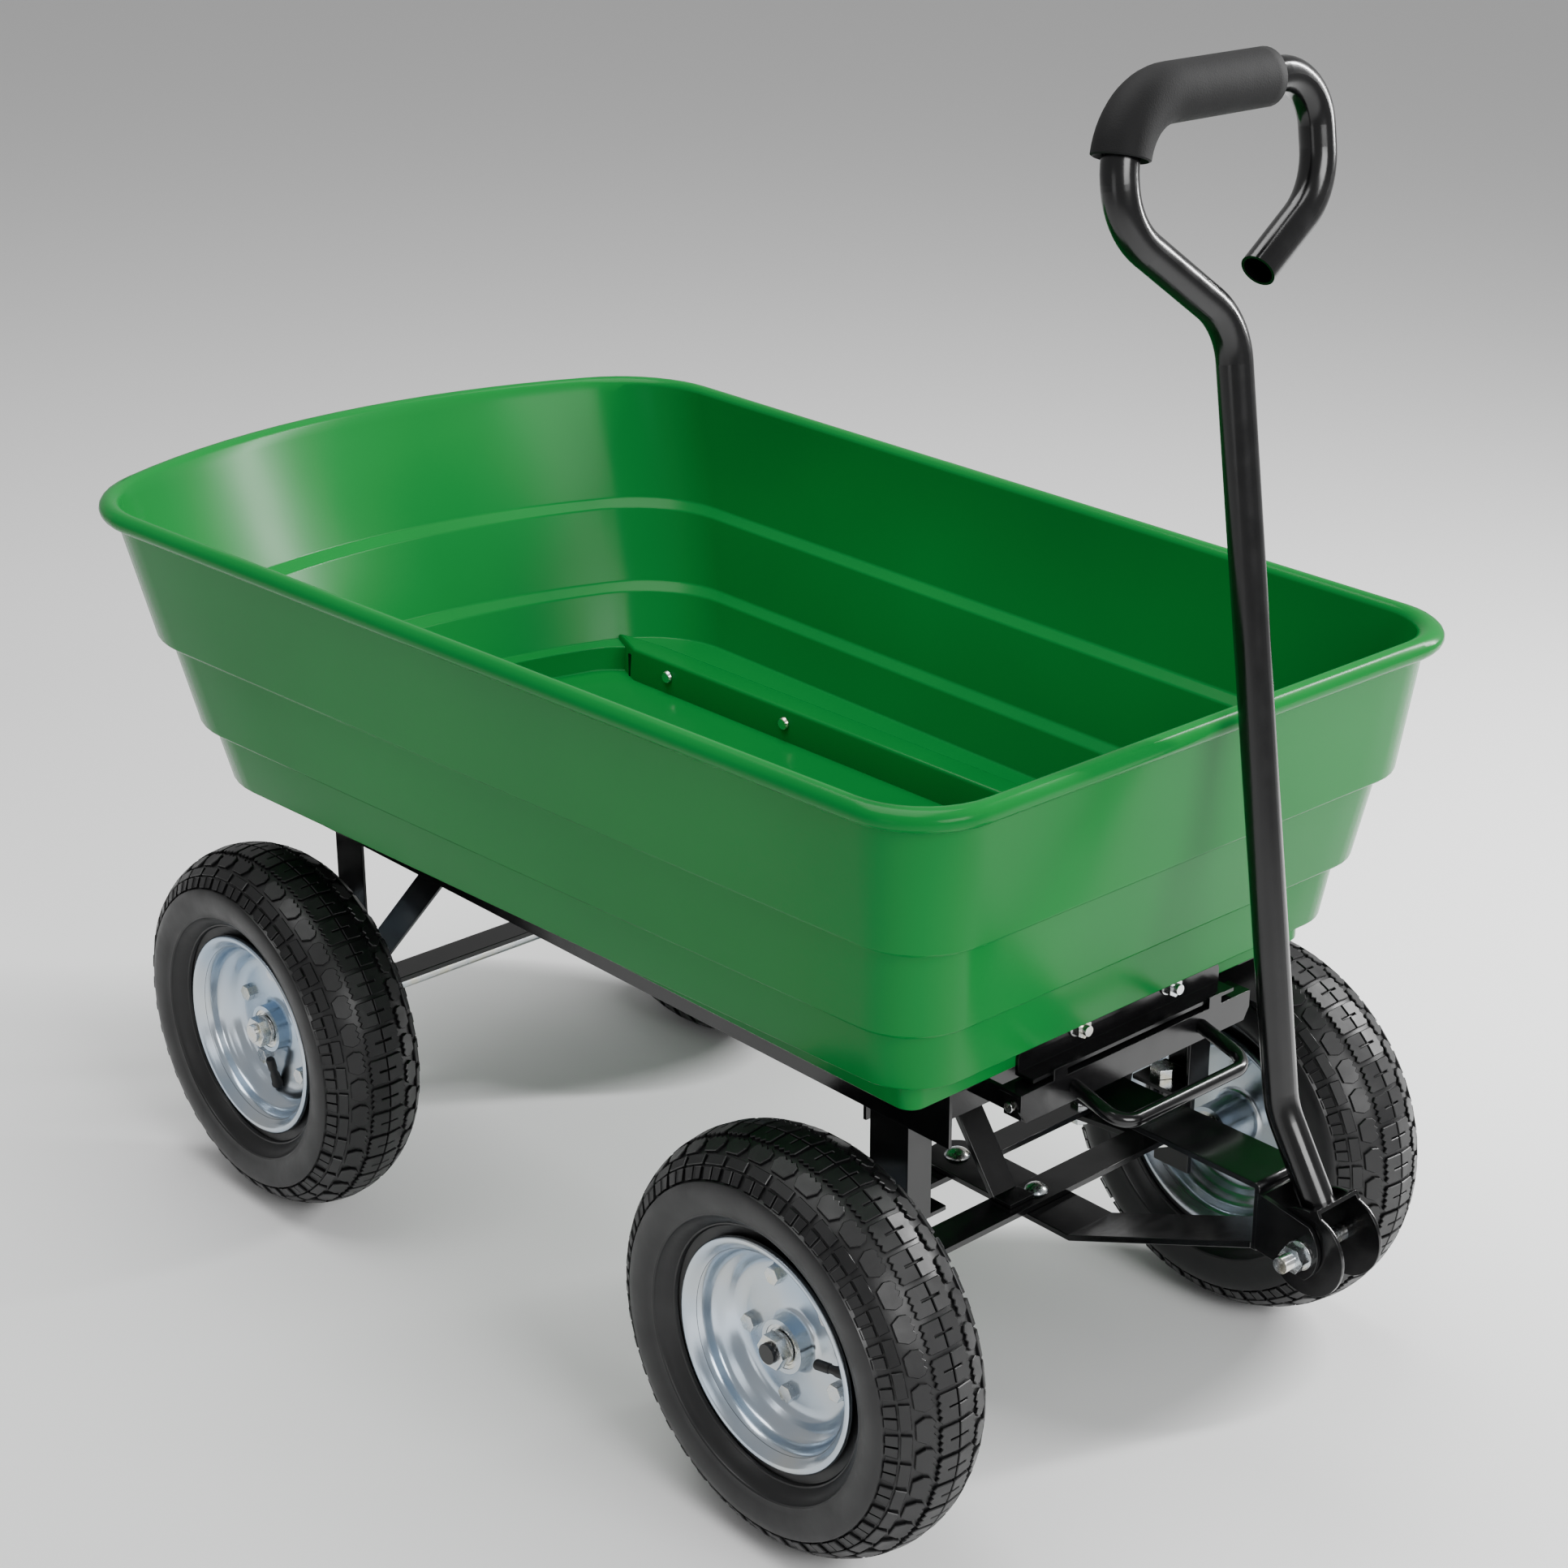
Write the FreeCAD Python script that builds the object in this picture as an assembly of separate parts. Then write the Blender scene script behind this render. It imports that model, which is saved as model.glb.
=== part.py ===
"""Four-wheeled garden dump cart: a moulded tub that tips back on a steel angle frame, with
linkage steering, a folding pull handle and pneumatic tyres on pressed steel rims.

Millimetres, +Z up, +X towards the pull handle, the left side at +Y. The functions measure X
from the front axle; export() moves the cart so that its origin is on the ground under the
middle of its overall box.
"""

import FreeCAD, Part
import math
import os

V = FreeCAD.Vector

# ---- running gear -------------------------------------------------------------------------
TYRE_R = 165.0            # half the outside diameter of a 330 mm pneumatic tyre
TYRE_W = 100.0            # section width
TYRE_WALL = 7.0           # carcass thickness
WHEEL_Y = 249.0           # centre plane of each wheel from the middle of the cart
WHEELBASE = 681.0
RIM_EDGE_R = 91.0         # outside radius of the rim flange
RIM_HALF_W = 36.5         # rim flange edge from the wheel's centre plane
BEAD_SEAT_R = 79.0
WELL_R = 65.0             # drop centre of the rim
RIM_SHEET = 2.5
HUB_R = 21.0
HUB_OUT = 18.0            # hub tube, from the centre plane to its outer end
HUB_IN = 42.0             # and to its inner end
BEARING_R = 17.4
BEARING_W = 10.0
AXLE_R = 8.0
RUNNING_FIT = 0.06        # radial clearance of a turning shaft
BOLT_FIT = 0.2            # radial clearance of a fastener's hole
RIM_BOLT_CIRCLE_R = 50.0
RIM_BOLTS = 5
RIM_BOLT_R = 4.0
VALVE_R = 4.5
VALVE_LENGTH = 30.0
COLLAR_R = 12.0
BODY_GAP = 0.3            # between faces of pieces that move on each other

# ---- tub ----------------------------------------------------------------------------------
LIP_R = 8.5
LIP_Z = 622.0             # centre of the rolled lip
LIP_FRONT_X = 151.5
LIP_REAR_X = -915.0       # at the middle of the bowed rear end
HALF_W_FRONT = 283.0
HALF_W_REAR = 320.0
REAR_BOW_R = 600.0
CORNER_FRONT_R = 62.0
CORNER_REAR_R = 110.0
TUB_WALL = 4.0
# (height, inset from the lip at the sides, at the front, at the rear), from the top down
TUB_LEVELS = [
    (LIP_Z, 3.0, 3.0, 3.0),
    (517.0, 14.0, 14.0, 45.0),
    (511.0, 24.0, 25.0, 57.0),
    (443.0, 32.0, 38.0, 84.0),
    (437.0, 42.0, 48.0, 96.0),
    (392.0, 49.0, 54.0, 112.0),
]
TUB_FLOOR_Z = 367.0       # underside of the floor
SKIRT_TOP_Z = TUB_LEVELS[-1][0]
SKIRT_HALF_W = 215.0
SKIRT_FRONT_X = 76.0
SKIRT_REAR_X = -790.0
LEDGE_Z = 400.0           # top of the ledges that run along both sides of the floor
LEDGE_INNER_Y = 187.0
FRONT_RECESS = (-165.0, -130.0, 15.0)   # corner relief in the skirt: from y, to y, height
TUB_BOLT_X = (-665.0, -500.0)
TUB_BOLT_Z = 388.0
FRONT_BOLT_Y = (-50.0, 50.0)
FRONT_BOLT_Z = 381.0
SIDE_FLANGE_TOP = 394.0   # of the hinge brackets, inside the ledges

# ---- frame --------------------------------------------------------------------------------
STEEL = 3.0
RAIL_Y = 172.0            # outer face of each rail
RAIL_Z0 = 322.0
RAIL_TOP = TUB_FLOOR_Z - BODY_GAP
RAIL_FLANGE = 30.0
RAIL_FRONT_X = 72.0
RAIL_REAR_X = -800.0
LEG_W = 40.0
LEG_FLANGE = 25.0
LEG_Y = RAIL_Y - STEEL    # outer face of each leg, against the rail's inner face
FRONT_LEG_X = 8.0         # centre of the front legs
HINGE_X = -785.0
HINGE_Z = 340.0
HINGE_BOLT_R = 5.0
STRAP_T = 5.0
CROSS_STRAP_W = 30.0
CROSS_STRAP_Z = 186.0     # underside of the front cross strap
KINGPIN_Y = 145.0
KINGPIN_R = 6.0
FOOT_Z = 236.0            # underside of the front legs' foot plates
CROSS_MEMBER_Z = 306.0
CROSS_MEMBER_HALF_W = 22.0
MID_MEMBER_X = -130.0
REAR_MEMBER_X = -748.0
REAR_STRAP_X = -655.0
BRACE_W = 26.0
BRACE_Y = -24.0           # centre of the front brace, beside the pivot bolt

# ---- steering -----------------------------------------------------------------------------
ARM_LENGTH = 86.0         # from each steering pivot back to the tie bar
TIE_BAR_W = 25.0
DRAWBAR_W = 50.0
DRAWBAR_FOLD_X = 57.0
DRAWBAR_PLATE_X = 230.0   # rear face of the upright plate that joins the two straps
UPPER_STRAP_TOP = CROSS_MEMBER_Z - BODY_GAP
UPRIGHT_Z0 = 252.0
PIVOT_X = 275.0           # handle pivot
PIVOT_Z = 268.0
PIVOT_R = 6.0
EAR_T = 4.0
EAR_INNER = 23.0
CHEEK_R = 33.0
CHEEK_T = 3.0

# ---- handle -------------------------------------------------------------------------------
TUBE_R = 12.5
TUBE_WALL = 2.0
GRIP_R = 19.5
FOOT_LEAN = (-0.5214, 0.8533)    # direction of the tube where it leaves its base, in X and Z
TUBE_OFFSET = 7.6         # tube axis in front of the pivot
WEB_U = 24.0              # from the pivot up to the web of the handle base
KNEE_Z = 357.0
HANDLE_LEAN = 0.155      # the long tube leans back this much per unit of height
NECK_Z = 902.0
LOOP_HALF_W = 98.0
LOOP_LOW_Z = 974.0
LOOP_TOP_Z = 1052.0
HOOK_END = (29.0, 931.0)
KNEE_BEND_R = 60.0
BEND_R = 52.0
LOOP_BEND_R = 50.0
HOOK_BEND_R = 36.0
GRIP_START = 0.2          # how far round the loop's upper bend the grip begins

# ---- dump latch ---------------------------------------------------------------------------
BRACKET_HALF_W = 110.0
BRACKET_Z0 = 361.0
BRACKET_TOP = 389.0
BRACKET_NOSE_X = 94.2
LATCH_PIN_X = 84.0
LATCH_PIN_Z = 343.0
LATCH_PIN_R = 4.0
LATCH_FACE_X = 94.5
LATCH_Z0 = 334.0
LATCH_TOP = 358.0
LATCH_HALF_W = 126.0
LATCH_LUG_Y = 112.0
LATCH_CHEEK_Y = 119.0
NOSE_Y = 85.0
ROD_R = 5.5
ROD_HALF_W = 70.0
ROD_REACH_X = 145.0
ROD_Z = 347.0
ROD_FRONT_Z = 333.0
ROD_BEND_R = 16.0

AXLE_Z = TYRE_R
REAR_AXLE_X = -WHEELBASE
TIE_BAR_Z = CROSS_STRAP_Z - BODY_GAP - 2 * STRAP_T - BODY_GAP
YOKE_Z = CROSS_STRAP_Z - BODY_GAP - STRAP_T
ARM_Z = TIE_BAR_Z - BODY_GAP - STRAP_T
ORIGIN_X = -(PIVOT_X + CHEEK_R + LIP_REAR_X - LIP_R) / 2


# ---- helpers ------------------------------------------------------------------------------
def box(x0, x1, y0, y1, z0, z1):
    return Part.makeBox(x1 - x0, y1 - y0, z1 - z0, V(x0, y0, z0))


def rod(radius, start, end):
    start, end = V(*start), V(*end)
    return Part.makeCylinder(radius, (end - start).Length, start, end - start)


def face_of(points):
    """A flat face through points, closed."""
    return Part.Face(Part.makePolygon([V(*p) for p in points] + [V(*points[0])]))


def plate_xz(points, y0, y1):
    return face_of([(x, y0, z) for x, z in points]).extrude(V(0, y1 - y0, 0))


def plate_yz(points, x0, x1):
    return face_of([(x0, y, z) for y, z in points]).extrude(V(x1 - x0, 0, 0))


def fuse(*shapes):
    return shapes[0].multiFuse(list(shapes[1:])).removeSplitter()


def cut(shape, *tools):
    return shape.cut(list(tools))


def mirror_y(shape):
    return shape.mirror(V(0, 0, 0), V(0, 1, 0))


def pair(shape):
    """The piece and its twin across the middle plane, as separate solids."""
    return Part.makeCompound([shape, mirror_y(shape)])


def hex_prism(across_flats, height, base, axis):
    """A hexagonal nut or head that stands on base along axis."""
    radius = across_flats / math.sqrt(3)
    corners = [V(radius * math.cos(k * math.pi / 3), radius * math.sin(k * math.pi / 3), 0)
               for k in range(7)]
    solid = Part.Face(Part.makePolygon(corners)).extrude(V(0, 0, height))
    solid.Placement = FreeCAD.Placement(V(*base), FreeCAD.Rotation(V(0, 0, 1), V(*axis)))
    return solid


def dome_head(radius, height, base, axis):
    """A low domed bolt head that stands on base along axis."""
    ball_r = (radius ** 2 + height ** 2) / (2 * height)
    half = math.asin(radius / ball_r) / 2
    middle = V(ball_r * math.sin(half), 0, height - ball_r + ball_r * math.cos(half))
    edges = [Part.LineSegment(V(0, 0, height), V(0, 0, 0)).toShape(),
             Part.LineSegment(V(0, 0, 0), V(radius, 0, 0)).toShape(),
             Part.Arc(V(radius, 0, 0), middle, V(0, 0, height)).toShape()]
    solid = Part.Face(Part.Wire(edges)).revolve(V(0, 0, 0), V(0, 0, 1), 360)
    solid.Placement = FreeCAD.Placement(V(*base), FreeCAD.Rotation(V(0, 0, 1), V(*axis)))
    return solid


def rounded_path(points, radii):
    """A wire of straight runs joined by tangent arcs, one radius for each inner point."""
    points = [V(*p) for p in points]
    edges, last = [], points[0]
    for before, corner, after, radius in zip(points, points[1:], points[2:], radii):
        back, ahead = before - corner, after - corner
        back.normalize()
        ahead.normalize()
        half = back.getAngle(ahead) / 2
        trim = radius / math.tan(half)
        bisector = back + ahead
        bisector.normalize()
        centre = corner + bisector * (radius / math.sin(half))
        start, end = corner + back * trim, corner + ahead * trim
        if (start - last).Length > 1e-6:
            edges.append(Part.LineSegment(last, start).toShape())
        edges.append(Part.Arc(start, centre - bisector * radius, end).toShape())
        last = end
    edges.append(Part.LineSegment(last, points[-1]).toShape())
    return Part.Wire(edges)


def sweep(path, radius):
    start = path.Edges[0]
    origin = start.valueAt(start.FirstParameter)
    ring = Part.Wire([Part.Circle(origin, start.tangentAt(start.FirstParameter), radius).toShape()])
    return path.makePipeShell([ring], True, True)


def revolve_about_axle(points, x, y):
    """A ring about the axle line from (radius, offset along the axle) points."""
    section = face_of([(x + r, y + a, AXLE_Z) for r, a in points])
    return section.revolve(V(x, 0, AXLE_Z), V(0, 1, 0), 360)


# ---- tub ----------------------------------------------------------------------------------
def outline(z, front_x, rear_x, half_front, half_rear, r_front, r_rear):
    """Closed outline of the tub: straight front, tapering sides and a bowed rear end."""
    slope = (half_front - half_rear) / (front_x - rear_x)
    length = math.hypot(1, slope)
    normal = V(slope / length, -1 / length, 0)          # points inwards from the left side

    def left_centre(x_guess, radius):
        side_y = half_front + slope * (x_guess - front_x)
        return V(x_guess, side_y, 0) + normal * radius

    front_c = V(front_x - r_front, 0, 0)
    front_c.y = half_front - slope * r_front - r_front * length
    bow_c_x = rear_x + REAR_BOW_R
    reach = REAR_BOW_R - r_rear
    low, high = rear_x, bow_c_x
    for _ in range(60):
        middle = (low + high) / 2
        centre = left_centre(middle, r_rear)
        if math.hypot(centre.x - bow_c_x, centre.y) > reach:
            low = middle
        else:
            high = middle
    rear_c = left_centre(low, r_rear)
    bow_dir = V(rear_c.x - bow_c_x, rear_c.y, 0)
    bow_dir.normalize()
    rear_tangent = V(bow_c_x, 0, 0) + bow_dir * REAR_BOW_R
    rear_side = rear_c - normal * r_rear
    rear_mid_dir = bow_dir - normal
    rear_mid_dir.normalize()
    rear_mid = rear_c + rear_mid_dir * r_rear
    front_side = front_c - normal * r_front
    front_flat = front_c + V(r_front, 0, 0)
    front_mid_dir = V(1, 0, 0) - normal
    front_mid_dir.normalize()
    front_mid = front_c + front_mid_dir * r_front

    def left(p):
        return V(p.x, p.y, z)

    def right(p):
        return V(p.x, -p.y, z)

    return Part.Wire([
        Part.LineSegment(right(front_flat), left(front_flat)).toShape(),
        Part.Arc(left(front_flat), left(front_mid), left(front_side)).toShape(),
        Part.LineSegment(left(front_side), left(rear_side)).toShape(),
        Part.Arc(left(rear_side), left(rear_mid), left(rear_tangent)).toShape(),
        Part.Arc(left(rear_tangent), V(rear_x, 0, z), right(rear_tangent)).toShape(),
        Part.Arc(right(rear_tangent), right(rear_mid), right(rear_side)).toShape(),
        Part.LineSegment(right(rear_side), right(front_side)).toShape(),
        Part.Arc(right(front_side), right(front_mid), right(front_flat)).toShape(),
    ])


def tub_outline(z, side, front, rear):
    """The tub's outline at height z, set in from the lip's centre line."""
    return outline(z, LIP_FRONT_X - front, LIP_REAR_X + rear, HALF_W_FRONT - side,
                   HALF_W_REAR - side, CORNER_FRONT_R - 0.3 * side, CORNER_REAR_R - 0.3 * side)


def skirt_outline(z, inset):
    return outline(z, SKIRT_FRONT_X - inset, SKIRT_REAR_X + inset, SKIRT_HALF_W - inset,
                   SKIRT_HALF_W - inset, 14.0 - inset, 60.0 - inset)


def tub():
    outer = [tub_outline(*level) for level in TUB_LEVELS]
    inner = []
    for z, side, front, rear in TUB_LEVELS[:-1]:
        inner.append(tub_outline(z, side + TUB_WALL, front + TUB_WALL, rear + TUB_WALL))
    z, side, front, rear = TUB_LEVELS[-1]
    inner.append(tub_outline(LEDGE_Z, side + TUB_WALL, front + TUB_WALL, rear + TUB_WALL))
    shell = Part.makeLoft(outer, True, True)
    skirt = Part.Face(skirt_outline(TUB_FLOOR_Z, 0)).extrude(V(0, 0, SKIRT_TOP_Z - TUB_FLOOR_Z))
    hollow = Part.makeLoft(inner, True, True)
    well = Part.Face(skirt_outline(TUB_FLOOR_Z + TUB_WALL, TUB_WALL))
    well = well.extrude(V(0, 0, LEDGE_Z + 1 - TUB_FLOOR_Z - TUB_WALL))
    well = well.common(box(-2000, 2000, -LEDGE_INNER_Y, LEDGE_INNER_Y, 0, 1000))
    channel_x0 = SKIRT_REAR_X + 60
    channel = box(channel_x0, SKIRT_FRONT_X - TUB_WALL, LEDGE_INNER_Y + TUB_WALL,
                  SKIRT_HALF_W - TUB_WALL, TUB_FLOOR_Z, LEDGE_Z - TUB_WALL)
    body = fuse(shell, skirt)
    body = cut(body, hollow, well, channel, mirror_y(channel))
    y0, y1, height = FRONT_RECESS
    relief = box(SKIRT_FRONT_X - TUB_WALL - 1, SKIRT_FRONT_X + 1, y0, y1, TUB_FLOOR_Z,
                 TUB_FLOOR_Z + height)
    body = cut(body, relief, mirror_y(relief))
    lip_wire = tub_outline(LIP_Z, 0, 0, 0)
    ring = Part.Wire([Part.Circle(V(LIP_FRONT_X, 0, LIP_Z), V(0, 1, 0), LIP_R).toShape()])
    split = V(LIP_FRONT_X, 0, LIP_Z)
    front_edge = lip_wire.Edges[0]
    halves = [Part.LineSegment(split, front_edge.lastVertex().Point).toShape(),
              Part.LineSegment(front_edge.firstVertex().Point, split).toShape()]
    closed = Part.Wire([halves[0]] + lip_wire.Edges[1:] + [halves[1]])
    lip = closed.makePipeShell([ring], True, True)
    body = fuse(body, lip)
    bolts = [rod(2.5 + BOLT_FIT, (x, LEDGE_INNER_Y - 1, TUB_BOLT_Z), (x, LEDGE_INNER_Y + 5, TUB_BOLT_Z))
             for x in TUB_BOLT_X]
    front = [rod(4 + BOLT_FIT, (SKIRT_FRONT_X - 6, y, FRONT_BOLT_Z), (SKIRT_FRONT_X + 1, y, FRONT_BOLT_Z))
             for y in FRONT_BOLT_Y]
    return cut(body, *bolts, *[mirror_y(b) for b in bolts], *front)


def tub_hinge_bracket():
    """Left bracket: an ear on the rail's hinge, bent under the floor and up inside the ledge."""
    ear_y = RAIL_Y + 0.5
    reach_x = TUB_BOLT_X[-1] + 30
    ear = plate_xz([(HINGE_X - 2, HINGE_Z - 13), (HINGE_X + 12, HINGE_Z - 12),
                    (HINGE_X + 55, TUB_FLOOR_Z - STEEL), (HINGE_X - 2, TUB_FLOOR_Z - STEEL),
                    (HINGE_X - 14, HINGE_Z + 8), (HINGE_X - 14, HINGE_Z - 6)],
                   ear_y, ear_y + STEEL)
    ear_top = box(HINGE_X - 2, HINGE_X + 55, ear_y, ear_y + STEEL, TUB_FLOOR_Z - STEEL, TUB_FLOOR_Z)
    inner_y = LEDGE_INNER_Y + TUB_WALL
    flange = box(HINGE_X - 2, reach_x, ear_y, inner_y + STEEL, TUB_FLOOR_Z - STEEL, TUB_FLOOR_Z)
    upright = box(SKIRT_REAR_X + 62, reach_x, inner_y, inner_y + STEEL, TUB_FLOOR_Z, SIDE_FLANGE_TOP)
    plate = fuse(ear, ear_top, flange, upright)
    holes = [rod(2.5 + BOLT_FIT, (x, inner_y - 1, TUB_BOLT_Z), (x, inner_y + 5, TUB_BOLT_Z))
             for x in TUB_BOLT_X]
    hinge = rod(HINGE_BOLT_R + RUNNING_FIT, (HINGE_X, ear_y - 1, HINGE_Z), (HINGE_X, ear_y + 5, HINGE_Z))
    return cut(plate, hinge, *holes)


def tub_bolts():
    """Pan-head bolts through the ledge walls into the hinge brackets, with their nuts."""
    out = []
    head_y = LEDGE_INNER_Y
    nut_y = LEDGE_INNER_Y + TUB_WALL + STEEL
    for x in TUB_BOLT_X:
        head = dome_head(6.0, 3.2, (x, head_y, TUB_BOLT_Z), (0, -1, 0))
        shank = rod(2.5, (x, head_y, TUB_BOLT_Z), (x, nut_y + 7, TUB_BOLT_Z))
        nut = hex_prism(8.0, 4.0, (x, nut_y, TUB_BOLT_Z), (0, 1, 0))
        bolt = fuse(head, shank, nut)
        out += [bolt, mirror_y(bolt)]
    return Part.makeCompound(out)


def tub_front_bracket():
    """Angle bolted to the front of the skirt: the catch holds its lower flange."""
    x0 = SKIRT_FRONT_X
    corner = 14.0
    w, top = BRACKET_HALF_W, BRACKET_TOP
    upright = plate_yz([(-w, BRACKET_Z0), (w, BRACKET_Z0), (w, top - corner),
                        (w - corner * 0.3, top - corner * 0.3), (w - corner, top),
                        (-w + corner, top), (-w + corner * 0.3, top - corner * 0.3),
                        (-w, top - corner)], x0, x0 + STEEL)
    flange = box(x0, BRACKET_NOSE_X, -w, w, BRACKET_Z0, BRACKET_Z0 + STEEL)
    holes = [rod(4 + BOLT_FIT, (x0 - 1, y, FRONT_BOLT_Z), (x0 + 5, y, FRONT_BOLT_Z)) for y in FRONT_BOLT_Y]
    return cut(fuse(upright, flange), *holes)


def bracket_bolts():
    """Bolts of the front bracket: head inside the tub, washer and nut outside."""
    out = []
    inside = SKIRT_FRONT_X - TUB_WALL
    outside = SKIRT_FRONT_X + STEEL
    for y in FRONT_BOLT_Y:
        head = dome_head(6.0, 4.0, (inside, y, FRONT_BOLT_Z), (-1, 0, 0))
        shank = rod(4.0, (inside, y, FRONT_BOLT_Z), (outside + 13, y, FRONT_BOLT_Z))
        washer = rod(8.0, (outside, y, FRONT_BOLT_Z), (outside + 1.8, y, FRONT_BOLT_Z))
        nut = hex_prism(13.0, 7.0, (outside + 1.8, y, FRONT_BOLT_Z), (1, 0, 0))
        out.append(fuse(head, shank, washer, nut))
    return Part.makeCompound(out)


# ---- frame --------------------------------------------------------------------------------
def rail():
    """Left rail: steel angle, its flange turned in under the tub's floor."""
    web = plate_xz([(RAIL_REAR_X + 8, RAIL_Z0), (RAIL_FRONT_X, RAIL_Z0), (RAIL_FRONT_X, RAIL_TOP),
                    (HINGE_X, RAIL_TOP), (RAIL_REAR_X, HINGE_Z + 10), (RAIL_REAR_X, RAIL_Z0 + 8)],
                   RAIL_Y - STEEL, RAIL_Y)
    flange = box(HINGE_X, RAIL_FRONT_X, RAIL_Y - RAIL_FLANGE, RAIL_Y, RAIL_TOP - STEEL, RAIL_TOP)
    bolt = rod(HINGE_BOLT_R + BOLT_FIT, (HINGE_X, RAIL_Y - 5, HINGE_Z), (HINGE_X, RAIL_Y + 1, HINGE_Z))
    return cut(fuse(web, flange), bolt)


def hinge_bolts():
    """The two bolts that the tub tips on, held in the rails by nuts."""
    outer = RAIL_Y + 0.5 + STEEL + BODY_GAP
    head = hex_prism(16.0, 6.0, (HINGE_X, outer, HINGE_Z), (0, 1, 0))
    shank = rod(HINGE_BOLT_R, (HINGE_X, RAIL_Y - STEEL - 11, HINGE_Z), (HINGE_X, outer, HINGE_Z))
    nut = hex_prism(16.0, 8.0, (HINGE_X, RAIL_Y - STEEL, HINGE_Z), (0, -1, 0))
    return pair(fuse(head, shank, nut))


def angle_leg(x_centre, z0, z1, flange_side):
    """Left leg: steel angle with its wide face outwards; flange_side is 1 in front, -1 behind."""
    half = LEG_W / 2
    wide = box(x_centre - half, x_centre + half, LEG_Y - STEEL, LEG_Y, z0, z1)
    if flange_side > 0:
        turned = box(x_centre + half - STEEL, x_centre + half, LEG_Y - LEG_FLANGE, LEG_Y, z0, z1)
    else:
        turned = box(x_centre - half, x_centre - half + STEEL, LEG_Y - LEG_FLANGE, LEG_Y, z0, z1)
    return fuse(wide, turned)


def front_leg():
    leg = angle_leg(FRONT_LEG_X, FOOT_Z, RAIL_TOP - STEEL, 1)
    foot = box(-17, FRONT_LEG_X + LEG_W / 2, KINGPIN_Y - 17, LEG_Y, FOOT_Z, FOOT_Z + 4)
    hole = rod(KINGPIN_R + BOLT_FIT, (0, KINGPIN_Y, FOOT_Z - 1), (0, KINGPIN_Y, FOOT_Z + 6))
    return cut(fuse(leg, foot), hole)


def rear_leg():
    leg = angle_leg(REAR_AXLE_X, AXLE_Z - 17, RAIL_TOP - STEEL, -1)
    hole = rod(AXLE_R + 0.05, (REAR_AXLE_X, LEG_Y - 5, AXLE_Z), (REAR_AXLE_X, LEG_Y + 1, AXLE_Z))
    return cut(leg, hole)


def rear_brace():
    """Left knee brace from the foot of the rear leg up to the rail."""
    foot_x = REAR_AXLE_X + LEG_W / 2
    rise = 337.0 - 225.0
    run = rise / math.tan(math.radians(48))
    tall = 25 / math.cos(math.radians(48))
    return plate_xz([(foot_x, 225 - tall), (foot_x + run + tall * math.tan(math.radians(42)), 337),
                     (foot_x + run, 337), (foot_x, 225)], LEG_Y - 4, LEG_Y)


def front_cross_strap():
    """Flat bar across the front between the kingpins."""
    half = CROSS_STRAP_W / 2
    top = CROSS_STRAP_Z + STRAP_T
    bar = box(-half, half, -KINGPIN_Y, KINGPIN_Y, CROSS_STRAP_Z, top)
    ends = [rod(half, (0, y, CROSS_STRAP_Z), (0, y, top)) for y in (-KINGPIN_Y, KINGPIN_Y)]
    holes = [rod(KINGPIN_R + BOLT_FIT, (0, y, CROSS_STRAP_Z - 1), (0, y, top + 1))
             for y in (-KINGPIN_Y, 0, KINGPIN_Y)]
    return cut(fuse(bar, *ends), *holes)


def rear_cross_strap():
    end = LEG_Y - 4
    half = CROSS_STRAP_W / 2
    return box(REAR_STRAP_X - half, REAR_STRAP_X + half, -end, end, CROSS_STRAP_Z,
               CROSS_STRAP_Z + STRAP_T)


def front_cross_member():
    """Channel between the front legs, open upwards; the drawbar's upper strap pivots under it."""
    half, end = CROSS_MEMBER_HALF_W, LEG_Y - LEG_FLANGE
    web = box(-half, half, -end, end, CROSS_MEMBER_Z, CROSS_MEMBER_Z + STEEL)
    sides = [box(-half, -half + STEEL, -end, end, CROSS_MEMBER_Z, 352),
             box(half - STEEL, half, -end, end, CROSS_MEMBER_Z, 352)]
    wings = box(-half, -half + STEEL, -LEG_Y + STEEL, LEG_Y - STEEL, CROSS_MEMBER_Z, 352)
    hole = rod(KINGPIN_R + BOLT_FIT, (0, 0, CROSS_MEMBER_Z - 1), (0, 0, CROSS_MEMBER_Z + 5))
    return cut(fuse(web, *sides, wings), hole)


def angle_between_rails(x):
    """Light angle between the rails that the tub's floor also rests on."""
    end = RAIL_Y - STEEL
    z1 = RAIL_TOP - STEEL
    upright = box(x - STEEL, x, -end, end, z1 - 30, z1)
    flange = box(x - STEEL, x + 22, -end, end, z1 - STEEL, z1)
    return fuse(upright, flange)


def front_brace():
    """Flat bar from the middle of the front cross strap up and back to the middle member."""
    top = CROSS_STRAP_Z + STRAP_T
    back_x = MID_MEMBER_X
    back_z = RAIL_TOP - 12
    foot = [(-13, top), (8, top), (8, top + 4), (-9, top + 4)]
    slope = math.atan2(back_z - top, -13 - back_x)
    dx, dz = 4 * math.sin(slope), 4 * math.cos(slope)
    bar = [(-13, top), (-13 + dx, top + dz), (back_x + dx * 2, back_z), (back_x, back_z - 6)]
    y0, y1 = BRACE_Y - BRACE_W / 2, BRACE_Y + BRACE_W / 2
    return fuse(plate_xz(bar, y0, y1), plate_xz(foot, y0, y1))


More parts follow.
